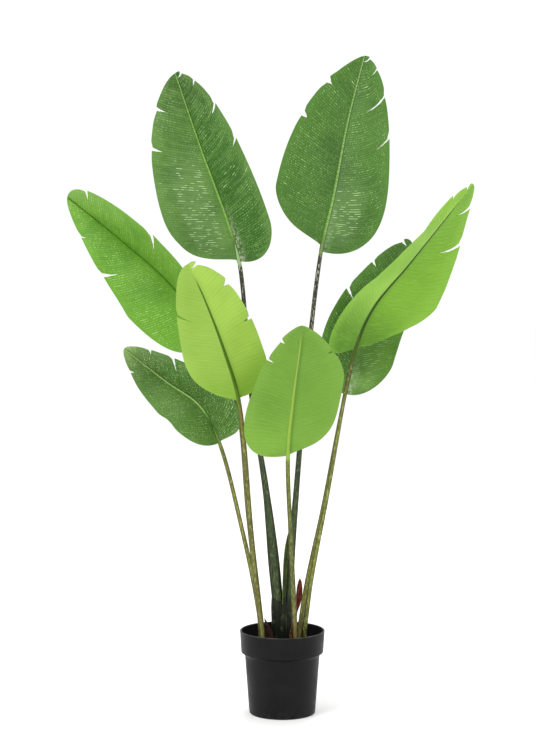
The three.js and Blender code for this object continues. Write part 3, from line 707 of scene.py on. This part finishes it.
def under_face(name, left, right, low, shade, pale, rib, rib_width, rib_end, shadow, ribbing):
    """Under face of a blade: soft ribs along the veins, painted with light and shade bands, and a midrib
    that stands out beside a painted shadow.
    """
    nodes = Nodes(name, right)
    at = vein_lines(nodes)
    spot = nodes.place()
    # Each half has its own colour: where the two differ, the difference is painted light and shade on the
    # two folded halves.
    nodes.paint(at.side, left)
    nodes.paint(at.along.step(0.32, 0.04), low)
    nodes.paint(spot.noise(9, 3).step(0.35, 0.65, 0.4, 0), shade)
    nodes.paint(at.share.step(0.6, 1, 0, 0.4), pale)
    vary = along_veins(nodes, at, 1, 0.015, 1).step(0.3, 0.7, 0.15, 1)
    # Painted light and shade: darker and paler bands across each vein rib.
    nodes.paint(at.off.step(0.36, 0.06, 0, ribbing) * vary, shade)
    nodes.paint(at.off.step(0.3, 0.48, 0, ribbing) * vary, pale)
    fine = (at.number * 3).fold()
    broken = along_veins(nodes, at, 3, 0.05, 1, 57).step(0.5, 0.62, 0, 0.5)
    nodes.paint(fine.step(0.28, 0.08) * broken, pale)
    rim = at.out - at.along.step(0, rib_end, rib_width, 0.3 * rib_width)
    fade = at.along.step(rib_end, rib_end - 0.14)
    # Painted shadow: a soft dark band beside the midrib on one half.
    nodes.paint(rim.step(8, 0.5, 0, shadow) * (1 - at.side) * fade, UNDER_SHADE)
    nodes.paint(rim.step(0.6, -0.4) * fade, rib)
    height = fine * 0.8 + spot.noise(700, 2) * 0.5
    return lamina(nodes, pale, 0.5, 0.22, height, 0.00016, 0.22)


def edge_face():
    """The thin cut edge of every blade."""
    nodes = Nodes("blade_edge", (120, 160, 70))
    nodes.paint(nodes.place().noise(120, 2).step(0.4, 0.7), (112, 104, 58))
    return nodes.matte(0.6)


def stem_material(name, body, shade, light, foot, foot_z, tip, neck, neck_z, neck_light=None,
                  tip_reach=0.1):
    """Stalk: dull green with painted shade on its flanks, pale flecks on its front and back that are
    partly painted highlight, and other colours at its two ends.
    """
    nodes = Nodes(name, body)
    spot = nodes.place()
    z = spot.split()[2]
    reach, flank, _ = nodes.map("stem")
    grain = spot.grain(420, 120)
    nodes.paint(spot.grain(60, 16, 2).step(0.36, 0.64, 0, 0.4), shade)
    upper = z.step(neck_z, neck_z + 0.12)
    nodes.paint(upper, neck)
    low = z + spot.noise(22, 2) * 0.06
    nodes.paint(low.step(foot_z + 0.1, foot_z, 0, 0.9), foot)
    sides = abs(flank - 0.5)
    # Painted shade: the flanks of the stalk are darkened.
    nodes.paint(sides.step(0.14, 0.46, 0, 0.85), shade)
    nodes.paint(grain.step(0.46, 0.34, 0, 0.6), shade)
    # Pale flecks on the front and back, partly the stalk's own flecks and partly painted highlight, whitish
    # on the necks of the tall stalks.
    flecks = grain.step(0.53, 0.64, 0, 0.65) * sides.step(0.44, 0.26)
    nodes.paint(flecks, nodes.mix(upper, light, neck_light or light))
    nodes.paint(reach.step(tip_reach, 0.2 * tip_reach), tip)
    return nodes.finish(nodes.surface(grain.step(0.3, 0.7, 0.42, 0.55), 0.22, grain, 0.0006, 0.6))


def sheath_material(name, body, patch, deep, edge, ridge=0):
    """Clasping leaf bases: near-black green with dull green patches and streaks.

    ridge is how far the side that faces -X takes the edge colour, as a keel that catches light.
    """
    nodes = Nodes(name, deep)
    spot = nodes.place()
    grain = spot.grain(300, 26)
    nodes.paint(spot.split()[2].step(0.17, 0.24), body)
    nodes.paint(spot.noise(70, 3).step(0.5, 0.66, 0, 0.75), patch)
    nodes.paint(grain.step(0.5, 0.36, 0, 0.7), deep)
    nodes.paint(grain.step(0.6, 0.72, 0, 0.5), edge)
    facing = nodes.place("Normal").split()[0]
    nodes.paint(facing.step(-0.45, -0.9, 0, ridge), edge)
    return nodes.finish(nodes.surface(grain.step(0.3, 0.7, 0.42, 0.58), 0.2, grain, 0.0007, 0.7))


def bud_material(name, body, dark, spots):
    """Red-brown papery sheath: knobbly, with fine lengthwise fibres and paler spots."""
    nodes = Nodes(name, dark)
    spot = nodes.place()
    fibre = spot.grain(700, 90)
    nodes.paint(fibre.step(0.4, 0.62), body)
    nodes.paint(spot.noise(260, 2).step(0.54, 0.68, 0, 0.7), spots)
    return nodes.finish(nodes.surface(0.62, 0.2, fibre, 0.0009, 0.9))


def pot_material():
    """Black moulded plastic: fine grain, faint smudges, painted shade inside and under the band, and a
    painted highlight along the rim.
    """
    nodes = Nodes("pot_plastic", (16, 16, 17))
    spot = nodes.place()
    x, y, z = spot.split()
    smudge = spot.noise(30, 5, 0.6).step(0.4, 0.75)
    nodes.paint(smudge, (23, 23, 25))
    # Painted shade: within the band's radius, from a little below the band upwards, the inner wall and the
    # ledge under the band are darkened.
    inside = nodes.math("LESS_THAN", nodes.math("SQRT", x * x + y * y), (BAND_RADIUS - 0.2) * MM)
    nodes.paint(inside * z.step((BAND_Z - 12) * MM, BAND_Z * MM), (12, 12, 13))
    # Painted highlight: patchy paler grey along the top of the rim.
    rub = z.step((POT_HEIGHT - 2) * MM, (POT_HEIGHT - 0.3) * MM) * spot.noise(60, 3).step(0.3, 0.6)
    nodes.paint(rub * 0.7, (72, 73, 77))
    dust = z.step(0.02, 0) * spot.noise(160, 3).step(0.45, 0.7, 0, 0.3)
    nodes.paint(dust, (60, 57, 53))
    height = spot.noise(1500, 2) + smudge * 0.3
    return nodes.finish(nodes.surface(smudge.step(0, 1, 0.42, 0.56), 0.12, height, 0.00012, 0.6))


def soil_material(name, dark, light):
    """Near-black crumbly soil."""
    nodes = Nodes(name, dark)
    spot = nodes.place()
    nodes.paint(spot.noise(160, 4, 0.65).step(0.4, 0.7), light)
    nodes.paint(spot.noise(420, 2).step(0.62, 0.72, 0, 0.6), (66, 50, 36))
    return nodes.finish(nodes.surface(0.92, 0.1, spot.noise(700, 4), 0.0009, 0.9))


def every_material():
    """Makes the materials of the part, one after another."""
    tall = dict(body=(62, 78, 46), shade=(28, 35, 19), light=(98, 108, 76), foot=(38, 54, 28), foot_z=0.13,
                neck=(60, 58, 44), neck_light=(206, 202, 186), neck_z=0.56)
    yield upper_face(
        "blade_deep_left", left=(94, 136, 60), right=(60, 106, 33), tip=(52, 84, 30), dark=(50, 90, 28),
        pale=(108, 148, 72), fleck=(194, 224, 164), rib=(158, 200, 102), rib_width=1.9,
        gleam=(0, 0.32, 0.4, 0.36, 1.1), dotted=(0.5, 0.62), bloom=1, root=(94, 98, 66), root_end=0.17)
    yield upper_face(
        "blade_deep_right", left=(74, 116, 44), right=(78, 120, 46), tip=(72, 112, 42), dark=(52, 92, 30),
        pale=(90, 136, 54), fleck=(186, 218, 150), rib=(158, 200, 112), rib_width=2.3,
        gleam=(1, 0.2, 0.28, 0.2, 1.1), dotted=(0.74, 0.64), bloom=0.3, root=(112, 158, 66), root_end=0.12)
    # This blade's tip colour is a pale grey-green, a painted sheen on the tip.
    yield upper_face(
        "blade_deep_low", left=(90, 132, 54), right=(72, 114, 40), tip=(160, 190, 120), dark=(56, 94, 32),
        pale=(100, 142, 64), fleck=(202, 228, 168), rib=(200, 230, 150), rib_width=2.4,
        gleam=(0, 0.45, 0.45, 0.3, 0.5), dotted=(1, 1.1), bloom=0.1, root=(84, 124, 50), root_end=0.3)
    yield upper_face(
        "blade_deep_back", left=(76, 122, 42), right=(118, 166, 66), tip=(80, 126, 46), dark=(54, 94, 30),
        pale=(98, 144, 60), fleck=(190, 220, 158), rib=(142, 194, 76), rib_width=1.3,
        gleam=(1, 0.28, 0.4, 0.3, 1), dotted=(0.7, 0.8), bloom=0.9, root=(104, 148, 66), root_end=0.14)
    yield upper_face(
        "blade_fresh", left=(114, 168, 54), right=(108, 158, 52), tip=(118, 166, 64), dark=(82, 136, 36),
        pale=(118, 174, 58), fleck=(196, 232, 144), rib=(30, 72, 12), rib_width=0.8,
        gleam=(0, 0.55, 0.45, 0.3, 0.4), dotted=(1, 0.7), bloom=0.05, root=(60, 110, 26), root_end=0.08)
    yield under_face(
        "back_pale", left=(112, 150, 74), right=(112, 150, 74), low=(116, 152, 78), shade=(88, 126, 56),
        pale=(132, 168, 92), rib=(136, 160, 84), rib_width=3.4, rib_end=0.98, shadow=0.25, ribbing=0.42)
    yield under_face(
        "back_bright", left=(158, 197, 82), right=(182, 220, 94), low=(145, 186, 64), shade=(136, 178, 56),
        pale=(170, 208, 94), rib=(70, 112, 10), rib_width=3.2, rib_end=0.93, shadow=0.12, ribbing=0.26)
    yield under_face(
        "back_soft", left=(119, 166, 56), right=(121, 168, 59), low=(132, 180, 66), shade=(100, 146, 46),
        pale=(140, 184, 80), rib=(154, 188, 72), rib_width=2.7, rib_end=0.98, shadow=0.6, ribbing=0.24)
    yield under_face(
        "back_clear", left=(160, 208, 80), right=(130, 182, 54), low=(92, 138, 38), shade=(104, 156, 42),
        pale=(154, 204, 80), rib=(46, 80, 0), rib_width=3.6, rib_end=0.94, shadow=0.25, ribbing=0.2)
    yield edge_face()
    yield stem_material("stem_tall", tip=(150, 176, 122), tip_reach=0.12, **tall)
    yield stem_material("stem_tall_right", tip=(116, 132, 80), **tall)
    yield stem_material(
        "stem_olive", body=(116, 118, 53), shade=(60, 64, 26), light=(158, 160, 92), foot=(122, 104, 58),
        foot_z=0.135, tip=(104, 124, 48), neck=(112, 116, 54), neck_z=0.5)
    yield stem_material(
        "stem_bright", body=(108, 108, 49), shade=(64, 68, 26), light=(156, 156, 92), foot=(136, 124, 70),
        foot_z=0.135, tip=(82, 116, 20), neck=(126, 116, 54), neck_z=0.42)
    yield stem_material(
        "stem_soft", body=(94, 99, 45), shade=(60, 66, 26), light=(142, 148, 86), foot=(138, 110, 62),
        foot_z=0.16, tip=(132, 166, 62), neck=(110, 122, 52), neck_z=0.36)
    yield stem_material(
        "stem_clear", body=(127, 132, 57), shade=(56, 60, 24), light=(166, 170, 100), foot=(66, 62, 34),
        foot_z=0.15, tip=(64, 84, 20), neck=(98, 96, 44), neck_light=(170, 172, 100), neck_z=0.5,
        tip_reach=0.4)
    yield sheath_material("stem_sheath", (50, 60, 36), (62, 78, 44), (15, 20, 9), (78, 92, 54))
    yield sheath_material("stem_spear", (34, 44, 14), (50, 64, 22), (14, 18, 8), (112, 134, 46), 0.9)
    yield bud_material("bud_paper", (140, 60, 34), (80, 34, 22), (178, 104, 62))
    yield bud_material("bract_paper", (62, 30, 22), (36, 20, 16), (104, 66, 44))
    yield bud_material("husk_paper", (92, 56, 34), (52, 34, 22), (128, 92, 54))
    yield pot_material()
    yield soil_material("soil_bed", (14, 12, 10), (30, 25, 20))
    yield soil_material("soil_crumb", (18, 15, 12), (44, 35, 27))


def make_blade(item, materials, seed):
    """One torn, ribbed blade."""
    slot, top, under, _ = item.looks
    vertices, faces, kinds, maps = blade_mesh(item, seed)
    used = [materials[top], materials[under], materials["blade_edge"]]
    make_object(f"{item.name}_blade", vertices, faces, used, slot, [f"blade_{item.name}"], kinds, maps)


def make_stalk(item, materials):
    """One stalk: round at its foot, channelled towards the blade, and tucked under the midrib."""
    start = np.array(item.route[0], float)
    foot = np.array(item.foot, float)
    foot_length = np.linalg.norm(start - foot)
    end = item.stalk_length + TUCK
    lengths = np.concatenate([np.linspace(-foot_length, 0, FOOT_RINGS, endpoint=False),
                              np.linspace(0, end, round(end / RING_STEP))])
    down = np.clip(-lengths, 0, None) / foot_length
    centre = item.curve.at(np.clip(lengths, 0, None)) + down[:, None] * (foot - start)
    tangent = item.curve.tangent(np.clip(lengths, 2, None))
    low = lengths < 0
    tangent[low] = unit(start - foot)
    radius = np.interp(centre[:, 2], *zip(*item.stalk))
    radius[low] = np.minimum(radius[low], item.foot_radius)
    tuck = np.clip((lengths - item.stalk_length) / TUCK, 0, 1)
    radius = radius * (1 - TUCK_TAPER * tuck ** 1.5)
    facing = unit(item.facing - (tangent @ item.facing)[:, None] * tangent)
    across = np.cross(tangent, facing)
    near = (lengths - item.stalk_length + SETBACK_REACH) / (2 * SETBACK_REACH)
    behind = SETBACK * np.clip(near, 0, 1)
    centre = centre - facing * behind[:, None]
    groove = GROOVE_DEPTH * np.clip((lengths / item.stalk_length - GROOVE_FROM) / GROOVE_REACH, 0, 1)
    angle = 2 * np.pi * np.arange(STALK_SIDES) / STALK_SIDES
    dent = np.exp(-(((angle - np.pi / 2) / GROOVE_WIDTH) ** 2))
    wander = [noise.noise(Vector((item.stalk_length, length * WOBBLE_RATE, 0))) for length in lengths]
    radius = radius * (1 + WOBBLE * np.array(wander))
    shape = radius[:, None] * (1 - groove[:, None] * dent)
    rings = (centre[:, None, :] + across[:, None, :] * (shape * np.cos(angle))[..., None]
             + facing[:, None, :] * (shape * np.sin(angle))[..., None])
    left_to_go = (item.stalk_length - lengths)[:, None] / 100
    stem = np.stack(np.broadcast_arrays(left_to_go, 0.5 + 0.5 * np.cos(angle)), -1).reshape(-1, 2)
    # A stalk's rings run clockwise, so its faces are turned over.
    faces = [face[::-1] for face in tube_faces(len(rings), STALK_SIDES)]
    look = item.looks[3]
    slot = "tall_stalk" if look.startswith("stem_tall") else "stalk"
    make_object(f"{item.name}_stalk", rings.reshape(-1, 3) * MM, faces, [materials[look]], slot,
                [f"stalk_{item.name}"], maps={"stem": stem}, sharp=60)


def lathe(profile, segments):
    """Vertices and faces of a closed turned form whose profile starts and ends on the axis."""
    inner = profile[1:-1]
    angle = 2 * np.pi * np.arange(segments) / segments
    vertices = [(r * math.cos(a), r * math.sin(a), z) for r, z in inner for a in angle]
    vertices += [(0, 0, profile[0][1]), (0, 0, profile[-1][1])]
    first, last = len(vertices) - 2, len(vertices) - 1
    faces = ring_faces(len(inner), segments)
    base = (len(inner) - 1) * segments
    for j in range(segments):
        k = (j + 1) % segments
        faces += [(first, k, j), (last, base + j, base + k)]
    return np.array(vertices) * MM, faces


def arc(centre, radius, start, end, steps):
    """Points of an arc in a profile, angles in degrees."""
    x, z = centre
    return [(x + radius * math.cos(a), z + radius * math.sin(a))
            for a in np.radians(np.linspace(start, end, steps))]


def make_pot(materials):
    """Grower's pot with a rolled rim, an upright band, a soft shoulder and drain holes."""
    slope = (BODY_RADIUS - FOOT_RADIUS) / BODY_Z
    profile = [(0, 1.2), (50, 1.2), (51.5, 0), (FOOT_RADIUS - 2, 0)]
    profile += arc((FOOT_RADIUS - 2, 2), 2, -80, 0, 6)
    profile += [(FOOT_RADIUS + slope * z, z) for z in np.linspace(6, BODY_Z - 4, 8)]
    profile += [(BODY_RADIUS, BODY_Z - 1), (BODY_RADIUS + 0.9, BODY_Z + 1.4)]
    profile += [(BODY_RADIUS + 2.6, BODY_Z + 3), (BAND_RADIUS - 1.6, BAND_Z - 2.2)]
    profile += arc((BAND_RADIUS - 1.2, BAND_Z - 0.6), 1.2, -60, 0, 4)
    profile += [(BAND_RADIUS + 0.06 * (z - BAND_Z), z) for z in np.linspace(BAND_Z + 3, POT_HEIGHT - 4, 5)]
    profile += [(RIM_RADIUS - 0.35, POT_HEIGHT - 3)]
    profile += arc((RIM_RADIUS - 1.5, POT_HEIGHT - 1.5), 1.5, 0, 180, 11)
    profile += [(RIM_RADIUS - 3.2, POT_HEIGHT - 4), (BAND_RADIUS - POT_WALL, BAND_Z + 1)]
    profile += [(BODY_RADIUS - POT_WALL, BODY_Z), (FOOT_RADIUS - POT_WALL + 0.3, POT_FLOOR + 3)]
    profile += arc((FOOT_RADIUS - POT_WALL - 2.7, POT_FLOOR + 3), 3, 0, -90, 5) + [(0, POT_FLOOR)]
    vertices, faces = lathe(profile, POT_SEGMENTS)
    pot = make_object("grower_pot", vertices, faces, [materials["pot_plastic"]], "pot", ["pot"])

    cutters = bmesh.new()
    radius, reach = DRAIN_RADIUS * MM, DRAIN_CIRCLE * MM
    for i in range(DRAIN_COUNT):
        angle = 2 * math.pi * i / DRAIN_COUNT
        place = Matrix.Translation((reach * math.cos(angle), reach * math.sin(angle), 0))
        bmesh.ops.create_cone(cutters, cap_ends=True, segments=32, radius1=radius, radius2=radius,
                              depth=20 * MM, matrix=place)
    mesh = bpy.data.meshes.new("drain_cutters")
    cutters.to_mesh(mesh)
    cutters.free()
    tool = link("drain_cutters", mesh)
    cut = pot.modifiers.new("drains", "BOOLEAN")
    cut.operation = "DIFFERENCE"
    cut.object = tool
    cut.solver = "EXACT"
    bake_modifiers(pot)
    bpy.data.objects.remove(tool)


def bake_modifiers(piece):
    """Applies a piece's modifiers to its own mesh."""
    seen = piece.evaluated_get(bpy.context.evaluated_depsgraph_get())
    mesh = bpy.data.meshes.new_from_object(seen)
    old = piece.data
    piece.modifiers.clear()
    piece.data = mesh
    bpy.data.meshes.remove(old)


def soil_height(x, y):
    """Height of the soil, in millimetres: rough, and a little higher round the stems."""
    lumps = noise.fractal(Vector((x * LUMP_RATE, y * LUMP_RATE, 0.3)), 0.6, 2.1, 5)
    clods = noise.noise(Vector((x * CLOD_RATE, y * CLOD_RATE, 4.0)))
    mound = MOUND * math.exp(-((x + 1) ** 2 + (y - 2) ** 2) / MOUND_WIDTH ** 2)
    return SOIL_Z + mound + SOIL_ROUGH * (0.5 * lumps + 0.35 * clods)


def make_soil(materials):
    """The soil: a rough top on a closed fill, with loose crumbs on it."""
    rim = BAND_RADIUS - POT_WALL + 0.6
    profile = [(0, POT_FLOOR + 0.4), (FOOT_RADIUS - POT_WALL - 4, POT_FLOOR + 0.4)]
    profile += [(FOOT_RADIUS - POT_WALL - 0.6, POT_FLOOR + 5), (BODY_RADIUS - POT_WALL - 0.6, BODY_Z)]
    profile += [(BAND_RADIUS - POT_WALL - 1.2, BAND_Z + 1)]
    profile += [(rim * r, SOIL_Z) for r in np.linspace(1, 0, SOIL_RINGS)]
    vertices, faces = lathe(profile, SOIL_SEGMENTS)
    for vertex in vertices:
        x, y, z = vertex / MM
        if z > SOIL_Z - 0.01:
            vertex[2] = soil_height(x, y) * MM
    make_object("soil_fill", vertices, faces, [materials["soil_bed"]], "soil", ["soil"], sharp=180)

    random = np.random.default_rng(11)
    shapes = bmesh.new()
    for _ in range(CRUMBS):
        reach = (rim - 3) * math.sqrt(random.random())
        turn = random.uniform(0, 2 * math.pi)
        x, y = reach * math.cos(turn), reach * math.sin(turn)
        size = 0.7 + 2 * random.random() ** 3
        place = (Matrix.Translation(Vector((x, y, soil_height(x, y) + 0.25 * size)) * MM)
                 @ Matrix.Rotation(random.uniform(0, 6), 4, Vector(random.normal(size=3))))
        stretch = Matrix.Diagonal((*(size * MM * random.uniform(0.6, 1.2, 3)), 1))
        made = bmesh.ops.create_icosphere(shapes, subdivisions=1, radius=1, matrix=place @ stretch)
        for vertex in made["verts"]:
            vertex.co += Vector(random.normal(size=3)) * 0.12 * size * MM
    mesh = bpy.data.meshes.new("soil_crumbs")
    shapes.to_mesh(mesh)
    shapes.free()
    mesh.materials.append(materials["soil_crumb"])
    crumbs = link("soil_crumbs", mesh)
    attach(crumbs, BODY)


def section_tube(sections, sides, ridge=0, ridges=0, twist=0, steps=40):
    """A closed tube through upright sections (x, y, z, half-width, half-depth), read smoothly."""
    x, y, z, rx, ry = np.array(sections, float).T
    heights = z[0] + (z[-1] - z[0]) * np.sin(np.linspace(0, np.pi / 2, steps))
    x, y, rx, ry = (np.interp(heights, z, line) for line in (x, y, rx, ry))
    for line in (x, y, rx, ry):
        line[1:-1] = (line[:-2] + 2 * line[1:-1] + line[2:]) / 4
    angle = 2 * np.pi * np.arange(sides) / sides
    turn = twist * np.linspace(0, 1, steps)
    swell = 1 + ridge * np.cos(ridges * (angle + turn[:, None]))
    across = x[:, None] + rx[:, None] * swell * np.cos(angle)
    along = y[:, None] + ry[:, None] * swell * np.sin(angle)
    rings = np.stack([across, along, np.repeat(heights[:, None], sides, 1)], -1)
    return rings.reshape(-1, 3) * MM, tube_faces(steps, sides)


def make_sheath(materials):
    """The trunk: two leaf bases that clasp each other, joined into one skin."""
    left = section_tube([(-9, 4, 104, 9, 10), (-9.3, 4, 150, 9.8, 11), (-9.8, 4, 190, 10.7, 11.2),
                         (-10, 4, 209, 9.6, 9.8)], 40)
    right = section_tube([(6.5, 3.5, 104, 10, 11.8), (6.8, 3.6, 150, 10.6, 12.2), (7.6, 4, 185, 10.2, 11.4),
                          (10.4, 5, 203, 8, 8.4), (11, 5, 213, 7.2, 7.2)], 40)
    flap = section_tube([(0, 2, 104, 9, 12.8), (0.5, 1, 160, 9, 12.6), (1.5, -0.5, 186, 6.2, 9.6),
                         (3, -2.5, 203, 2.4, 5)], 32)
    vertices = np.vstack([part[0] for part in (left, right, flap)])
    faces = []
    offset = 0
    for points, shape in (left, right, flap):
        faces += [tuple(index + offset for index in face) for face in shape]
        offset += len(points)
    sheath = make_object("sheath", vertices, faces, [materials["stem_sheath"]], "trunk", ["trunk"])
    skin = sheath.modifiers.new("skin", "REMESH")
    skin.mode = "VOXEL"
    skin.voxel_size = SHEATH_VOXEL * MM
    soften = sheath.modifiers.new("soften", "SMOOTH")
    soften.factor = 0.5
    soften.iterations = 4
    bake_modifiers(sheath)
    sheath.data.shade_smooth()


def make_growths(materials):
    """The young spear, the red bud and the two bracts."""
    shapes = {
        "young_spear": ([(3.2, -4.8, 172, 3, 3), (3.2, -4.8, 206, 3.4, 3.4), (4.6, -4.6, 243, 4.2, 3.6),
                         (6.4, -4.5, 275, 4.5, 3.7), (8.2, -4.4, 300, 4.1, 3.4), (9.5, -4, 315, 2.5, 2.2),
                         (10.3, -3.5, 326, 0.4, 0.4)], 0.05, 3, 2.4, "stem_spear", "stalk"),
        "red_bud": ([(23.5, 24, 104, 2.5, 2.3), (23.5, 24, 160, 2.5, 2.3), (25.3, 24, 179, 2.6, 2.4),
                     (27.8, 23.8, 190, 4.6, 3.9), (30.6, 23.4, 204, 6, 4.8), (31.6, 22.6, 222, 5.8, 4.7),
                     (32, 22, 233, 3.6, 3.2), (32, 21.5, 240, 0.5, 0.5)], 0.09, 4, 1.2, "bud_paper", "bud"),
        "left_bract": ([(-22, -8, 104, 7.5, 2.9), (-22, -8, 133, 7.9, 2.9), (-24, -8.4, 148, 6.2, 2.5),
                        (-28, -9, 162, 3.2, 1.7), (-32, -9, 173, 0.3, 0.3)],
                       0.06, 7, 0.2, "bract_paper", "bud"),
        "front_bract": ([(15, -22, 104, 3.3, 2.1), (15, -22, 132, 3.5, 2.2), (15.5, -22.5, 150, 2.7, 1.7),
                         (16.5, -23, 167, 0.3, 0.3)], 0.06, 7, 0.2, "husk_paper", "bud"),
    }
    for name, (sections, ridge, ridges, twist, material, slot) in shapes.items():
        vertices, faces = section_tube(sections, 36, ridge, ridges, twist, 60)
        make_object(f"{name}_form", vertices, faces, [materials[material]], slot, [name], sharp=60)


def make_floor():
    """A plain, nearly white floor."""
    nodes = Nodes("floor_white", (251, 251, 250))
    nodes.paint(nodes.place().noise(3.0), (254, 254, 253))
    side = FLOOR_SIZE / 2
    corners = [(-side, -side, 0), (side, -side, 0), (side, side, 0), (-side, side, 0)]
    mesh = bpy.data.meshes.new("floor")
    mesh.from_pydata(corners, [], [(0, 1, 2, 3)])
    mesh.materials.append(nodes.matte(0.9))
    floor = link("floor", mesh)
    floor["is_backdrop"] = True


def add_light(name, place, size, power):
    """A soft square lamp that looks at the middle of the plant."""
    data = bpy.data.lights.new(name, "AREA")
    data.size = size
    data.energy = power
    lamp = link(name, data)
    lamp.location = place
    lamp.rotation_euler = (Vector(LAMP_TARGET) - Vector(place)).to_track_quat("-Z", "Y").to_euler()


def make_lights():
    """A white studio: an even surround, a large key high on the left, and soft fill."""
    world = bpy.data.worlds.new("studio")
    bpy.context.scene.world = world
    world.use_nodes = True
    background = world.node_tree.nodes["Background"]
    background.inputs[0].default_value = (1, 1, 1, 1)
    background.inputs[1].default_value = 1.03
    add_light("key", (-2.2, -2.2, 3), 1.6, 62)
    add_light("fill", (2.6, -2.4, 1.4), 2.2, 14)
    add_light("back", (0.6, 2.6, 2.4), 2, 30)
    bpy.context.scene.view_settings.view_transform = "Standard"


def make_camera():
    """The camera, level with the leaves and tipped a little down."""
    data = bpy.data.cameras.new("camera")
    data.sensor_width = SENSOR
    data.lens = SENSOR * FOCAL_PIXELS / PICTURE_HEIGHT
    camera = link("camera", data)
    camera.location = CAMERA_PLACE
    camera.rotation_euler = (math.radians(90 - CAMERA_PITCH), 0, 0)
    bpy.context.scene.camera = camera


make_camera()
materials = {made.name: made for made in every_material()}
for seed, item in enumerate(LEAVES):
    prepare(item)
    make_blade(item, materials, 100 + 10 * seed)
    make_stalk(item, materials)
make_pot(materials)
make_soil(materials)
make_sheath(materials)
make_growths(materials)
make_floor()
make_lights()

visual_box = [list(corner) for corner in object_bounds()]
